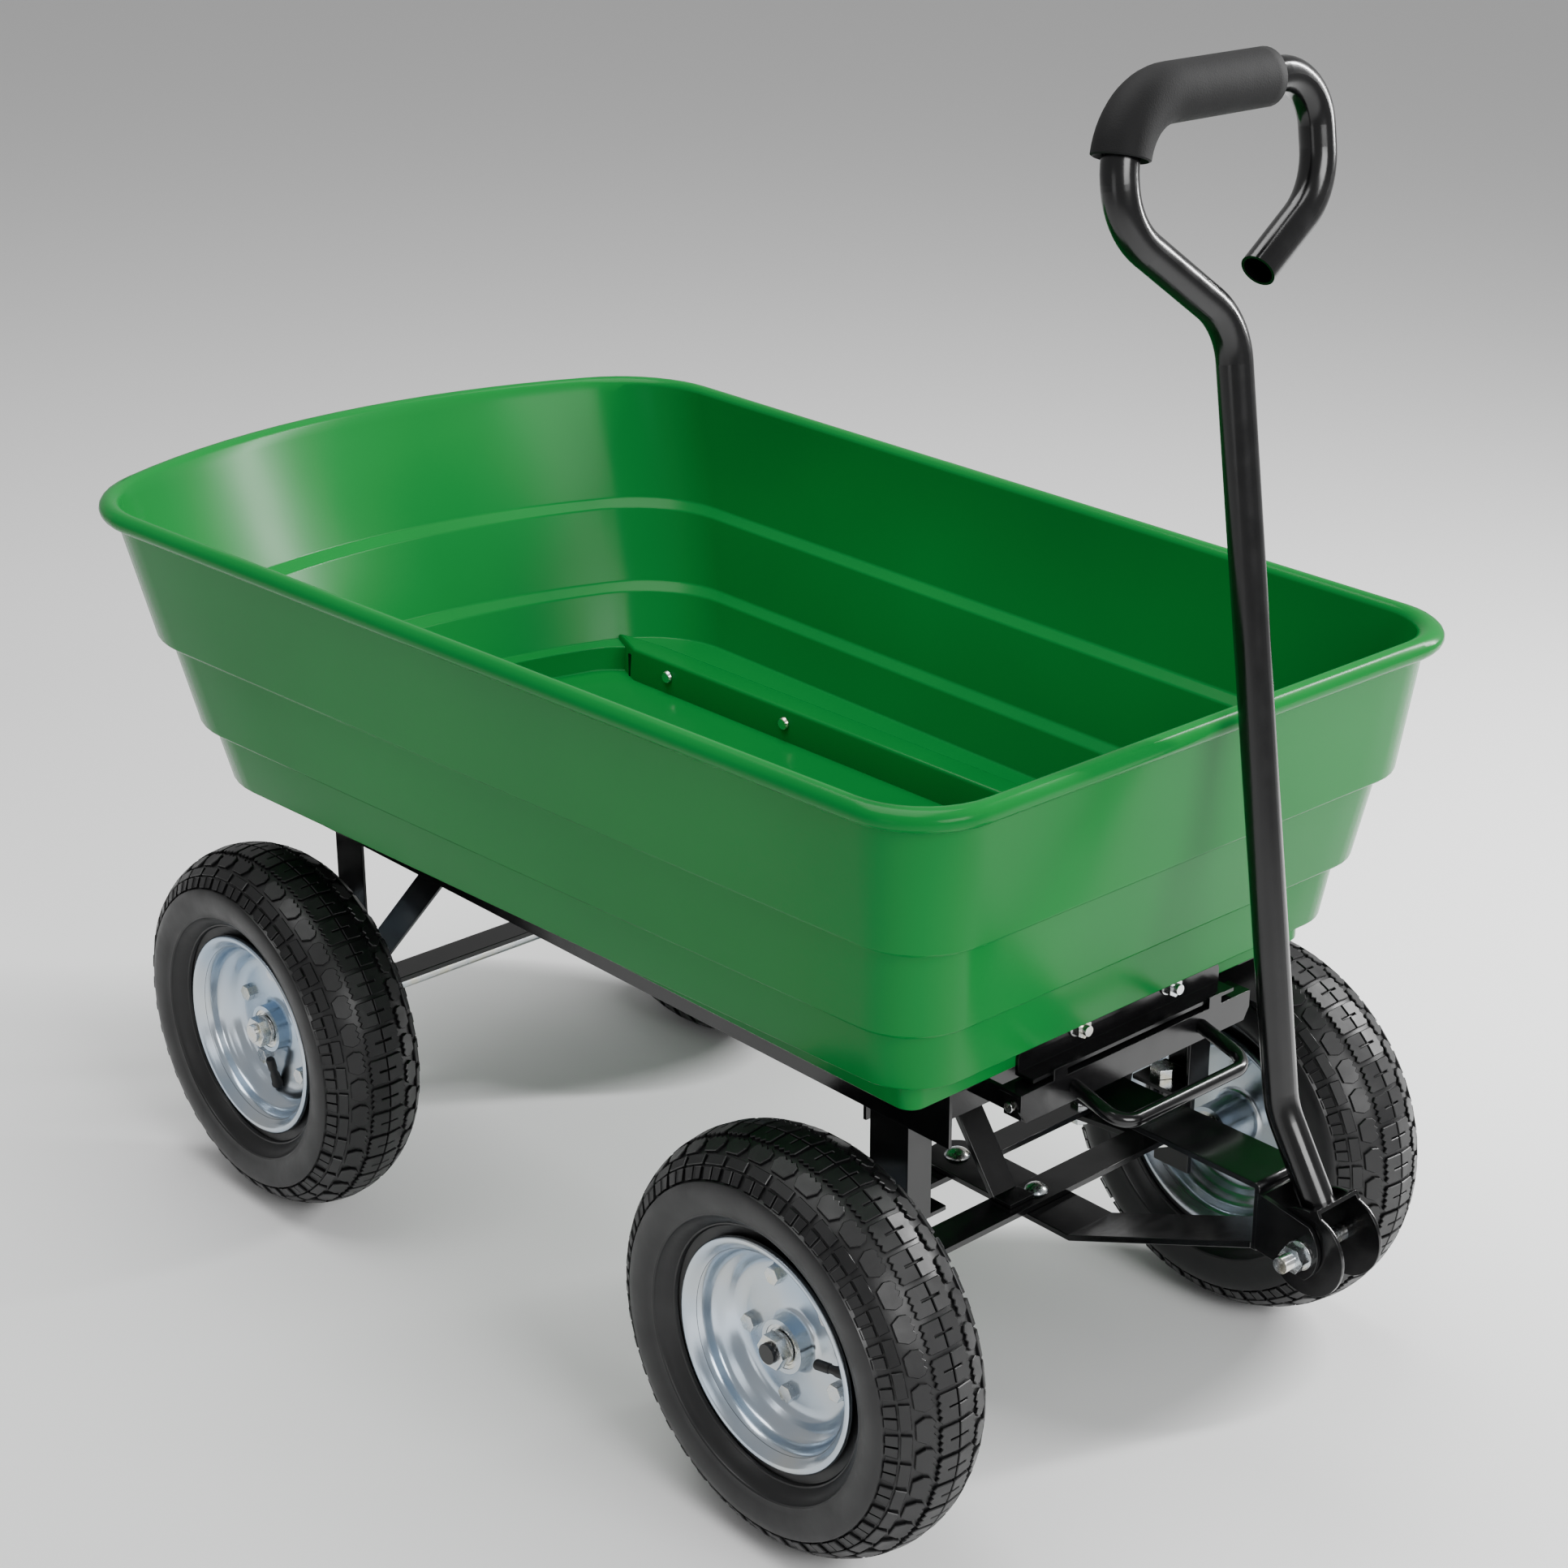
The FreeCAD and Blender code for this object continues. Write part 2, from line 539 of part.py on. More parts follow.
def latch_lugs():
    """Two plates on the front cross member that hold the latch's pin."""
    lug = plate_xz([(CROSS_MEMBER_HALF_W, LATCH_Z0), (LATCH_PIN_X + 7, LATCH_Z0),
                    (LATCH_PIN_X + 7, 350), (CROSS_MEMBER_HALF_W, 350)], LATCH_LUG_Y, LATCH_LUG_Y + 4)
    hole = rod(LATCH_PIN_R + 0.05, (LATCH_PIN_X, LATCH_LUG_Y - 1, LATCH_PIN_Z),
               (LATCH_PIN_X, LATCH_LUG_Y + 5, LATCH_PIN_Z))
    return pair(cut(lug, hole))


def rear_axle():
    end = WHEEL_Y + HUB_OUT + 15
    bar = rod(AXLE_R, (REAR_AXLE_X, -end, AXLE_Z), (REAR_AXLE_X, end, AXLE_Z))
    collar = rod(COLLAR_R, (REAR_AXLE_X, LEG_Y, AXLE_Z), (REAR_AXLE_X, WHEEL_Y - HUB_IN - BODY_GAP, AXLE_Z))
    return fuse(bar, collar, mirror_y(collar))


def axle_nut(x):
    """Washer and lock nut on the outer end of a left axle."""
    start = WHEEL_Y + HUB_OUT + BODY_GAP
    washer = rod(13.0, (x, start, AXLE_Z), (x, start + 2, AXLE_Z))
    nut = hex_prism(24.0, 9.0, (x, start + 2, AXLE_Z), (0, 1, 0))
    hole = rod(AXLE_R, (x, start - 1, AXLE_Z), (x, start + 20, AXLE_Z))
    return cut(fuse(washer, nut), hole)


def kingpins():
    """Kingpin bolts of the knuckles and the two pivot bolts of the drawbar."""
    foot_top = FOOT_Z + 4
    pin = fuse(hex_prism(18.0, 8.0, (0, KINGPIN_Y, foot_top), (0, 0, 1)),
               rod(KINGPIN_R, (0, KINGPIN_Y, CROSS_STRAP_Z - 9), (0, KINGPIN_Y, foot_top)),
               hex_prism(18.0, 8.0, (0, KINGPIN_Y, CROSS_STRAP_Z), (0, 0, -1)))
    strap_top = CROSS_STRAP_Z + STRAP_T
    lower = fuse(dome_head(10.0, 6.0, (0, 0, strap_top), (0, 0, 1)),
                 rod(KINGPIN_R, (0, 0, YOKE_Z - 12), (0, 0, strap_top)),
                 hex_prism(18.0, 9.0, (0, 0, YOKE_Z - BODY_GAP), (0, 0, -1)))
    web_top = CROSS_MEMBER_Z + STEEL
    under = UPPER_STRAP_TOP - STRAP_T - BODY_GAP
    upper = fuse(hex_prism(18.0, 7.0, (0, 0, web_top), (0, 0, 1)),
                 rod(KINGPIN_R, (0, 0, under - 11), (0, 0, web_top)),
                 hex_prism(18.0, 9.0, (0, 0, under), (0, 0, -1)))
    return Part.makeCompound([pin, mirror_y(pin), lower, upper])


# ---- steering -----------------------------------------------------------------------------
def knuckle():
    """Left steering knuckle: kingpin tube, plate, stub axle and steering arm."""
    low, high = CROSS_STRAP_Z + STRAP_T + BODY_GAP, FOOT_Z - BODY_GAP
    plate_y = KINGPIN_Y + 16
    barrel = rod(13.0, (0, KINGPIN_Y, low), (0, KINGPIN_Y, high))
    bridge = box(-11, 11, KINGPIN_Y + 4, plate_y, low, high)
    plate = box(-18, 18, plate_y, plate_y + 5, AXLE_Z - 15, high)
    stub = rod(AXLE_R, (0, plate_y + 4, AXLE_Z), (0, WHEEL_Y + HUB_OUT + 15, AXLE_Z))
    collar = rod(COLLAR_R, (0, plate_y + 4, AXLE_Z), (0, WHEEL_Y - HUB_IN - BODY_GAP, AXLE_Z))
    arm_end = rod(12.0, (-ARM_LENGTH, KINGPIN_Y, ARM_Z), (-ARM_LENGTH, KINGPIN_Y, ARM_Z + STRAP_T))
    arm = face_of([(-ARM_LENGTH, KINGPIN_Y - 12, ARM_Z), (-30, KINGPIN_Y - 2, ARM_Z),
                   (-12, KINGPIN_Y + 12, ARM_Z), (8, KINGPIN_Y + 14, ARM_Z), (8, plate_y + 3, ARM_Z),
                   (-22, plate_y + 5, ARM_Z),
                   (-ARM_LENGTH, KINGPIN_Y + 12, ARM_Z)]).extrude(V(0, 0, STRAP_T))
    body = fuse(barrel, bridge, plate, stub, collar, arm, arm_end)
    kingpin = rod(KINGPIN_R + RUNNING_FIT, (0, KINGPIN_Y, low - 1), (0, KINGPIN_Y, high + 1))
    tie = rod(5.0 + RUNNING_FIT, (-ARM_LENGTH, KINGPIN_Y, ARM_Z - 1), (-ARM_LENGTH, KINGPIN_Y, ARM_Z + 9))
    return cut(body, kingpin, tie)


def tie_bar():
    half = TIE_BAR_W / 2
    top = TIE_BAR_Z + STRAP_T
    x = -ARM_LENGTH
    bar = box(x - half, x + half, -KINGPIN_Y, KINGPIN_Y, TIE_BAR_Z, top)
    ends = [rod(half, (x, y, TIE_BAR_Z), (x, y, top)) for y in (-KINGPIN_Y, KINGPIN_Y)]
    holes = [rod(5.0 + BOLT_FIT, (x, y, TIE_BAR_Z - 1), (x, y, top + 1)) for y in (-KINGPIN_Y, 0, KINGPIN_Y)]
    return cut(fuse(bar, *ends), *holes)


def tie_bar_bolts():
    """Bolts of the tie bar: one through each knuckle arm and one through the drawbar's tail."""
    x, top = -ARM_LENGTH, TIE_BAR_Z + STRAP_T
    arm_bolt = fuse(hex_prism(15.0, 5.0, (x, KINGPIN_Y, top), (0, 0, 1)),
                    rod(5.0, (x, KINGPIN_Y, ARM_Z - 9), (x, KINGPIN_Y, top)),
                    hex_prism(15.0, 7.0, (x, KINGPIN_Y, ARM_Z - BODY_GAP), (0, 0, -1)))
    tail_top = YOKE_Z + STRAP_T + BODY_GAP
    tail = fuse(dome_head(11.0, 6.0, (x, 0, tail_top), (0, 0, 1)),
                rod(5.0, (x, 0, TIE_BAR_Z - 9), (x, 0, tail_top)),
                hex_prism(15.0, 7.0, (x, 0, TIE_BAR_Z), (0, 0, -1)))
    return Part.makeCompound([arm_bolt, mirror_y(arm_bolt), tail])


def drawbar_lower_strap():
    """Flat strap from the tie bar forward under the cross strap, folded up to the clevis."""
    half = DRAWBAR_W / 2
    rise = math.atan2(UPRIGHT_Z0 - YOKE_Z, DRAWBAR_PLATE_X - DRAWBAR_FOLD_X)
    lift = STRAP_T / math.cos(rise)
    shift = STRAP_T * math.tan(rise / 2)
    side = plate_xz([(-ARM_LENGTH, YOKE_Z), (DRAWBAR_FOLD_X + shift, YOKE_Z),
                     (DRAWBAR_PLATE_X, UPRIGHT_Z0),
                     (DRAWBAR_PLATE_X, UPRIGHT_Z0 + lift),
                     (DRAWBAR_FOLD_X, YOKE_Z + STRAP_T), (-ARM_LENGTH, YOKE_Z + STRAP_T)], -half, half)
    tail = rod(half, (-ARM_LENGTH, 0, YOKE_Z), (-ARM_LENGTH, 0, YOKE_Z + STRAP_T))
    pivot = rod(KINGPIN_R + RUNNING_FIT, (0, 0, YOKE_Z - 1), (0, 0, YOKE_Z + 9))
    tie = rod(5.0 + RUNNING_FIT, (-ARM_LENGTH, 0, YOKE_Z - 1), (-ARM_LENGTH, 0, YOKE_Z + 9))
    return cut(fuse(side, tail), pivot, tie)


def drawbar_upper_strap():
    """Flat strap from the pivot under the front cross member, bent down in front."""
    half = DRAWBAR_W / 2
    z1, z0 = UPPER_STRAP_TOP, UPPER_STRAP_TOP - STRAP_T
    front = DRAWBAR_PLATE_X + STRAP_T
    flat = box(0, front, -half, half, z0, z1)
    tail = rod(half, (0, 0, z0), (0, 0, z1))
    upright = box(DRAWBAR_PLATE_X, front, -half, half, UPRIGHT_Z0, z1)
    strap = fuse(flat, tail, upright)
    corner = [e for e in strap.Edges if abs(e.BoundBox.XMin - front) < 0.01
              and abs(e.BoundBox.XMax - front) < 0.01 and abs(e.BoundBox.ZMin - z1) < 0.01
              and abs(e.BoundBox.ZMax - z1) < 0.01]
    strap = strap.makeFillet(STRAP_T, corner)
    pivot = rod(KINGPIN_R + RUNNING_FIT, (0, 0, z0 - 1), (0, 0, z1 + 1))
    return cut(strap, pivot)


def clevis():
    """Ears welded to the front of the drawbar; the handle base turns between them."""
    x0 = DRAWBAR_PLATE_X + STRAP_T
    outer = EAR_INNER + EAR_T
    z0, z1 = UPRIGHT_Z0 + 3, UPPER_STRAP_TOP - 6
    back = box(x0, x0 + 4, -outer, outer, z0, z1)
    nose_low, nose_high = (PIVOT_X + 5, PIVOT_Z - 18.5), (PIVOT_X + 5, PIVOT_Z + 24)
    tip = (PIVOT_X + 15, PIVOT_Z + 3)
    y = EAR_INNER
    edges = [
        Part.LineSegment(V(x0, y, z1), V(x0, y, z0)).toShape(),
        Part.LineSegment(V(x0, y, z0), V(nose_low[0], y, nose_low[1])).toShape(),
        Part.Arc(V(nose_low[0], y, nose_low[1]), V(tip[0], y, tip[1]),
                 V(nose_high[0], y, nose_high[1])).toShape(),
        Part.LineSegment(V(nose_high[0], y, nose_high[1]), V(x0, y, z1)).toShape(),
    ]
    ear = Part.Face(Part.Wire(edges)).extrude(V(0, EAR_T, 0))
    hole = rod(PIVOT_R + 0.05, (PIVOT_X, -outer - 1, PIVOT_Z), (PIVOT_X, outer + 1, PIVOT_Z))
    return cut(fuse(back, ear, mirror_y(ear)), hole)


def handle_pivot_bolt():
    outer = EAR_INNER + EAR_T
    head = hex_prism(18.0, 7.0, (PIVOT_X, outer, PIVOT_Z), (0, 1, 0))
    shank = rod(PIVOT_R, (PIVOT_X, -outer - 22, PIVOT_Z), (PIVOT_X, outer, PIVOT_Z))
    washer = rod(11.0, (PIVOT_X, -outer - 2, PIVOT_Z), (PIVOT_X, -outer, PIVOT_Z))
    nut = hex_prism(18.0, 9.0, (PIVOT_X, -outer - 2, PIVOT_Z), (0, -1, 0))
    return fuse(head, shank, washer, nut)


# ---- handle -------------------------------------------------------------------------------
def handle_point(u, v):
    """A point of the handle base in X and Z, from u along the tube's foot and v in front of it."""
    ux, uz = FOOT_LEAN
    return (PIVOT_X + u * ux + v * uz, PIVOT_Z + u * uz - v * ux)


def handle_base():
    """Stamped channel between the clevis ears: two round cheeks and the web under the tube."""
    outer = EAR_INNER - 0.5
    cheek_y = outer - CHEEK_T
    back_v, front_v = -14.0, 26.0
    web = plate_xz([handle_point(WEB_U, back_v), handle_point(WEB_U + CHEEK_T, back_v),
                    handle_point(WEB_U + CHEEK_T, front_v), handle_point(WEB_U, front_v)], -outer, outer)
    side = plate_xz([handle_point(0, back_v), handle_point(WEB_U + CHEEK_T, back_v),
                     handle_point(WEB_U + CHEEK_T, front_v), handle_point(0, front_v)], cheek_y, outer)
    disc = rod(CHEEK_R, (PIVOT_X, cheek_y, PIVOT_Z), (PIVOT_X, outer, PIVOT_Z))
    bore = rod(PIVOT_R + RUNNING_FIT, (PIVOT_X, -outer - 1, PIVOT_Z), (PIVOT_X, outer + 1, PIVOT_Z))
    return cut(fuse(web, side, disc, mirror_y(side), mirror_y(disc)), bore)


def lean_x(z):
    knee_x = PIVOT_X + (KNEE_Z - PIVOT_Z - TUBE_OFFSET * -FOOT_LEAN[0]) * FOOT_LEAN[0] / FOOT_LEAN[1]
    knee_x += TUBE_OFFSET * FOOT_LEAN[1]
    return knee_x - (z - KNEE_Z) * HANDLE_LEAN


def handle_points():
    start_x, start_z = handle_point(WEB_U + CHEEK_T, TUBE_OFFSET)
    loop = [(0, NECK_Z), (-LOOP_HALF_W, LOOP_LOW_Z), (-LOOP_HALF_W, LOOP_TOP_Z),
            (LOOP_HALF_W, LOOP_TOP_Z), (LOOP_HALF_W, LOOP_LOW_Z), HOOK_END]
    return ([(start_x, 0, start_z), (lean_x(KNEE_Z), 0, KNEE_Z)]
            + [(lean_x(z), y, z) for y, z in loop])


def handle_path():
    radii = [KNEE_BEND_R, BEND_R, BEND_R - 2, LOOP_BEND_R, HOOK_BEND_R, BEND_R]
    return rounded_path(handle_points(), radii)


def handle_tube():
    path = handle_path()
    return cut(sweep(path, TUBE_R), sweep(path, TUBE_R - TUBE_WALL))


def handle_grip():
    """Foam sleeve over the loop's upper bend and its bar."""
    edges = handle_path().Edges
    bar = max((e for e in edges if abs(e.BoundBox.ZMin - e.BoundBox.ZMax) < 0.01), key=lambda e: e.Length)
    bend = edges[[e.isSame(bar) for e in edges].index(True) - 1]
    first, last = bend.FirstParameter, bend.LastParameter
    start = first + GRIP_START * (last - first)
    path = Part.Wire([bend.Curve.toShape(start, last), bar])
    return cut(sweep(path, GRIP_R), sweep(path, TUBE_R))


# ---- dump latch ---------------------------------------------------------------------------
def latch_plate():
    """Catch that swings forward on its pin: face, top flange, end cheeks and two noses."""
    x0, x1 = LATCH_FACE_X, LATCH_FACE_X + STEEL
    w = LATCH_HALF_W
    face = plate_yz([(-w, LATCH_TOP), (-w, LATCH_Z0 + 10), (-w + 6, LATCH_Z0), (w - 6, LATCH_Z0),
                     (w, LATCH_Z0 + 10), (w, LATCH_TOP)], x0, x1)
    top = box(LATCH_PIN_X - 8, x1, -w, w, LATCH_TOP - STEEL, LATCH_TOP)
    cheek = plate_xz([(LATCH_PIN_X - 7, LATCH_Z0 + 1), (x0, LATCH_Z0 + 1), (x0, LATCH_TOP),
                      (LATCH_PIN_X - 7, LATCH_TOP)], LATCH_CHEEK_Y, LATCH_CHEEK_Y + STEEL)
    nose = box(x0, x1, NOSE_Y - 7, NOSE_Y + 7, LATCH_TOP, BRACKET_Z0 + STEEL + 3)
    bore = rod(LATCH_PIN_R + RUNNING_FIT, (LATCH_PIN_X, -w, LATCH_PIN_Z), (LATCH_PIN_X, w, LATCH_PIN_Z))
    body = fuse(face, top, cheek, mirror_y(cheek), nose, mirror_y(nose))
    return cut(body, bore)


def release_rod():
    """Bent round bar welded to the latch plate, pressed to free the tub."""
    start_x = LATCH_FACE_X + STEEL
    points = [(start_x - 3, -ROD_HALF_W, ROD_Z), (ROD_REACH_X, -ROD_HALF_W, ROD_FRONT_Z),
              (ROD_REACH_X, ROD_HALF_W, ROD_FRONT_Z), (start_x - 3, ROD_HALF_W, ROD_Z)]
    bar = sweep(rounded_path(points, [ROD_BEND_R, ROD_BEND_R]), ROD_R)
    return cut(bar, box(0, start_x, -200, 200, 200, 500))


def latch_pin():
    end = LATCH_CHEEK_Y + STEEL + 3
    return rod(LATCH_PIN_R, (LATCH_PIN_X, -end, LATCH_PIN_Z), (LATCH_PIN_X, end, LATCH_PIN_Z))


def latch_spring():
    """Torsion spring on the latch pin: its close coils as one sleeve, and two legs."""
    wire, half = 0.7, 7.0
    inner, outer = LATCH_PIN_R + 0.3, LATCH_PIN_R + 2.1
    coil = cut(rod(outer, (LATCH_PIN_X, -half, LATCH_PIN_Z), (LATCH_PIN_X, half, LATCH_PIN_Z)),
               rod(inner, (LATCH_PIN_X, -half - 1, LATCH_PIN_Z), (LATCH_PIN_X, half + 1, LATCH_PIN_Z)))
    leg_z = LATCH_PIN_Z + (inner + outer) / 2
    back = rod(wire, (LATCH_PIN_X, 1 - half, leg_z), (CROSS_MEMBER_HALF_W, 1 - half, leg_z))
    front = rod(wire, (LATCH_PIN_X, half - 1, leg_z), (LATCH_FACE_X - BODY_GAP, half - 1, leg_z))
    return fuse(coil, back, front)


# ---- wheels -------------------------------------------------------------------------------
def arc_points(points, height):
    """Part.Arc through three (radius, offset) points in the plane z = height."""
    return Part.Arc(*[V(r, a, height) for r, a in points]).toShape()


def tyre(x):
    """Left tyre: a hollow carcass with its beads in the rim."""
    half = TYRE_W / 2
    shoulder_r, shoulder_y = TYRE_R - 13, half - 12
    side_r = TYRE_R - 43
    t = TYRE_WALL

    def side(sign, inset):
        foot = (RIM_EDGE_R + 1, sign * (RIM_HALF_W - 3.3 - inset))
        belly = (side_r, sign * (half - inset))
        low = (side_r - 18, sign * (half - 4 - inset))
        high = (side_r + 18, sign * (half - 3.2 - inset))
        top = (shoulder_r - inset * 0.57, sign * (shoulder_y - inset * 0.72))
        return foot, low, belly, high, top

    edges = []
    for sign in (1, -1):
        foot, low, belly, high, top = side(sign, 0)
        edges += [arc_points([foot, low, belly], AXLE_Z), arc_points([belly, high, top], AXLE_Z)]
        foot_i, low_i, belly_i, high_i, top_i = side(sign, t)
        edges += [arc_points([foot_i, low_i, belly_i], AXLE_Z), arc_points([belly_i, high_i, top_i], AXLE_Z)]
        bead_o, bead_i = (BEAD_SEAT_R + 0.4, sign * 30.3), (BEAD_SEAT_R + 0.4, sign * 24)
        for a, b in ((foot, bead_o), (bead_o, bead_i), (bead_i, foot_i)):
            edges.append(Part.LineSegment(V(a[0], a[1], AXLE_Z), V(b[0], b[1], AXLE_Z)).toShape())
    for inset in (0, t):
        tops = [side(s, inset)[4] for s in (1, -1)]
        edges.append(arc_points([tops[0], (TYRE_R - inset, 0), tops[1]], AXLE_Z))
    section = Part.Face(Part.Wire(Part.__sortEdges__(edges)))
    section.translate(V(x, WHEEL_Y, 0))
    return section.revolve(V(x, 0, AXLE_Z), V(0, 1, 0), 360)


def rim_bolt_angles(phase):
    return [math.radians(phase + 360 / RIM_BOLTS * k) for k in range(RIM_BOLTS)]


def rim(x, phase):
    """Left rim: pressed flanges, drop centre and disc, with the hub tube welded through it."""
    e, w, t = RIM_EDGE_R, RIM_HALF_W, RIM_SHEET
    outer = [(e, w - 3), (BEAD_SEAT_R, 31), (BEAD_SEAT_R - 2, 20), (WELL_R, 11)]
    half_in = [(e, w), (e - 3, w), (BEAD_SEAT_R - t, 33.5), (BEAD_SEAT_R - 2 - t, 20.5),
               (WELL_R - t, 11.5), (WELL_R - t - 2.5, t), (HUB_R, t)]
    bore = BEARING_R + 0.02
    hub_out = [(HUB_R, HUB_OUT), (bore, HUB_OUT), (bore, HUB_OUT - BEARING_W),
               (bore - 2.5, HUB_OUT - BEARING_W)]
    hub_in = [(bore - 2.5, -HUB_IN + BEARING_W), (bore, -HUB_IN + BEARING_W), (bore, -HUB_IN),
              (HUB_R, -HUB_IN)]
    back = [(r, -a) for r, a in reversed(half_in)]
    points = ([(r, -a) for r, a in outer][::1] + list(reversed(outer)) + half_in + hub_out + hub_in + back)
    body = revolve_about_axle(points, x, WHEEL_Y)
    holes = [rod(RIM_BOLT_R + BOLT_FIT,
                 (x + RIM_BOLT_CIRCLE_R * math.cos(a), WHEEL_Y - t - 1, AXLE_Z + RIM_BOLT_CIRCLE_R * math.sin(a)),
                 (x + RIM_BOLT_CIRCLE_R * math.cos(a), WHEEL_Y + t + 1, AXLE_Z + RIM_BOLT_CIRCLE_R * math.sin(a)))
             for a in rim_bolt_angles(phase)]
    return cut(body, *holes)


def rim_bolts(x, phase):
    out = []
    for a in rim_bolt_angles(phase):
        px, pz = x + RIM_BOLT_CIRCLE_R * math.cos(a), AXLE_Z + RIM_BOLT_CIRCLE_R * math.sin(a)
        face = WHEEL_Y + RIM_SHEET
        back = WHEEL_Y - RIM_SHEET
        head = hex_prism(13.0, 5.5, (px, face, pz), (0, 1, 0))
        shank = rod(RIM_BOLT_R, (px, back - 10, pz), (px, face, pz))
        nut = hex_prism(13.0, 6.5, (px, back, pz), (0, -1, 0))
        out.append(fuse(head, shank, nut))
    return Part.makeCompound(out)


def bearings(x):
    """The two ball bearings of a left hub, as rings that run on the axle."""
    out = []
    for y in (WHEEL_Y + HUB_OUT - BEARING_W, WHEEL_Y - HUB_IN):
        ring = rod(BEARING_R, (x, y, AXLE_Z), (x, y + BEARING_W, AXLE_Z))
        bore = rod(AXLE_R + RUNNING_FIT, (x, y - 1, AXLE_Z), (x, y + BEARING_W + 1, AXLE_Z))
        out.append(cut(ring, bore))
    return Part.makeCompound(out)


def valve_stem(x, angle):
    """Rubber valve that stands on the rim's drop centre and points at the hub."""
    root_r, root_y = WELL_R - RIM_SHEET - 1.25, 6.5
    lean = math.hypot(9.0, 2.5)
    dr, dy = -9.0 / lean, 2.5 / lean
    start_r, start_y = root_r + dr * 0.9, root_y + dy * 0.9
    tip_r, tip_y = root_r + dr * VALVE_LENGTH, root_y + dy * VALVE_LENGTH
    c, s = math.cos(math.radians(angle)), math.sin(math.radians(angle))
    start = (x + start_r * c, WHEEL_Y + start_y, AXLE_Z + start_r * s)
    middle = (x + (start_r + dr * 12) * c, WHEEL_Y + start_y + dy * 12, AXLE_Z + (start_r + dr * 12) * s)
    tip = (x + tip_r * c, WHEEL_Y + tip_y, AXLE_Z + tip_r * s)
    return fuse(rod(VALVE_R, start, middle), rod(VALVE_R - 1.2, middle, tip))


# ---- export -------------------------------------------------------------------------------
def export(node, shape):
    shape = shape.copy()
    shape.translate(V(ORIGIN_X, 0, 0))
    assert shape.isValid(), node
    shape.exportStep("parts/" + node + ".step")
    print(node, len(shape.Solids), round(shape.Volume / 1000, 1), "cm3")


def export_both_sides(name, left):
    export(name + "_left", left)
    export(name + "_right", mirror_y(left))


def export_wheels():
    """Four wheels; each has its bolts and its valve at its own angle."""
    places = {
        "front_left": (0.0, 1, 20, 60), "front_right": (0.0, -1, 45, 0),
        "rear_left": (REAR_AXLE_X, 1, 70, 106), "rear_right": (REAR_AXLE_X, -1, 20, -95),
    }
    for place, (x, side, phase, valve) in places.items():
        pieces = {"tyre": tyre(x), "rim": rim(x, phase), "rim_bolts": rim_bolts(x, phase),
                  "bearings": bearings(x), "valve_stem": valve_stem(x, valve)}
        for name, shape in pieces.items():
            export(name + "_" + place, shape if side > 0 else mirror_y(shape))


def main():
    os.makedirs("parts", exist_ok=True)
    export("tub", tub())
    export("tub_hinge_brackets", pair(tub_hinge_bracket()))
    export("tub_bolts", tub_bolts())
    export("tub_front_bracket", tub_front_bracket())
    export("bracket_bolts", bracket_bolts())
    export_both_sides("rail", rail())
    export_both_sides("front_leg", front_leg())
    export_both_sides("rear_leg", rear_leg())
    export("rear_braces", pair(rear_brace()))
    export("hinge_bolts", hinge_bolts())
    export("front_cross_strap", front_cross_strap())
    export("rear_cross_strap", rear_cross_strap())
    export("front_cross_member", front_cross_member())
    export("middle_cross_member", angle_between_rails(MID_MEMBER_X))
    export("rear_cross_member", angle_between_rails(REAR_MEMBER_X))
    export("front_brace", front_brace())
    export("latch_lugs", latch_lugs())
    export("rear_axle", rear_axle())
    export("rear_axle_nuts", pair(axle_nut(REAR_AXLE_X)))
    export("kingpins", kingpins())
    export_both_sides("knuckle", knuckle())
    export_both_sides("front_axle_nut", axle_nut(0.0))
    export("tie_bar", tie_bar())
    export("tie_bar_bolts", tie_bar_bolts())
    export("drawbar_lower_strap", drawbar_lower_strap())
    export("drawbar_upper_strap", drawbar_upper_strap())
    export("clevis", clevis())
    export("handle_pivot_bolt", handle_pivot_bolt())
    export("handle_base", handle_base())
    export("handle_tube", handle_tube())
    export("handle_grip", handle_grip())
    export("latch_plate", latch_plate())
    export("release_rod", release_rod())
    export("latch_pin", latch_pin())
    export("latch_spring", latch_spring())
    export_wheels()


main()
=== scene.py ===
# %% [markdown]
# A four-wheeled garden dump cart: a green moulded tub on a black steel frame, with pneumatic
# tyres on zinc-plated rims and a pull handle with a foam grip. The steel work comes from the
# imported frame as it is. The tub, tyres, rims, foam and small hardware are modelled again here,
# because their rolled and moulded surfaces are what the eye judges first.

# %% Load the frame
import math
import bmesh
import bpy
from mathutils import Matrix, Vector


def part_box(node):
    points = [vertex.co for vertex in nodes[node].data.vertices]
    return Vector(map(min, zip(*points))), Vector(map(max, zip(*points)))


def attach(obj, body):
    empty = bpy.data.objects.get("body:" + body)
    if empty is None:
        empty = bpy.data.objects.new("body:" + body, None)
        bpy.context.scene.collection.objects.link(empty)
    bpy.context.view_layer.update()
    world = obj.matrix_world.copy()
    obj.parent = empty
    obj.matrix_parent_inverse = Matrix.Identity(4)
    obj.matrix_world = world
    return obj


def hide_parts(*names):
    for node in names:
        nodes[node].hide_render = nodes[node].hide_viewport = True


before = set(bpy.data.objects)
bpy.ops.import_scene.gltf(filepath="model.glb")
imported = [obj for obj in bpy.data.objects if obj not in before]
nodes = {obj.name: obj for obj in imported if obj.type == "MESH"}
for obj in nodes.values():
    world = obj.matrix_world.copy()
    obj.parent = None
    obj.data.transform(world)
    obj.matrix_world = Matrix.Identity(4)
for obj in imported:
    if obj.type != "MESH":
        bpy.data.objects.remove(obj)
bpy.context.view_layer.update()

# %% [markdown]
# Each new piece is placed from the box of the node it stands for, so that it lands on it. The
# sizes of its own shape are named in millimetres, as on a drawing, and scaled by MM at the end.

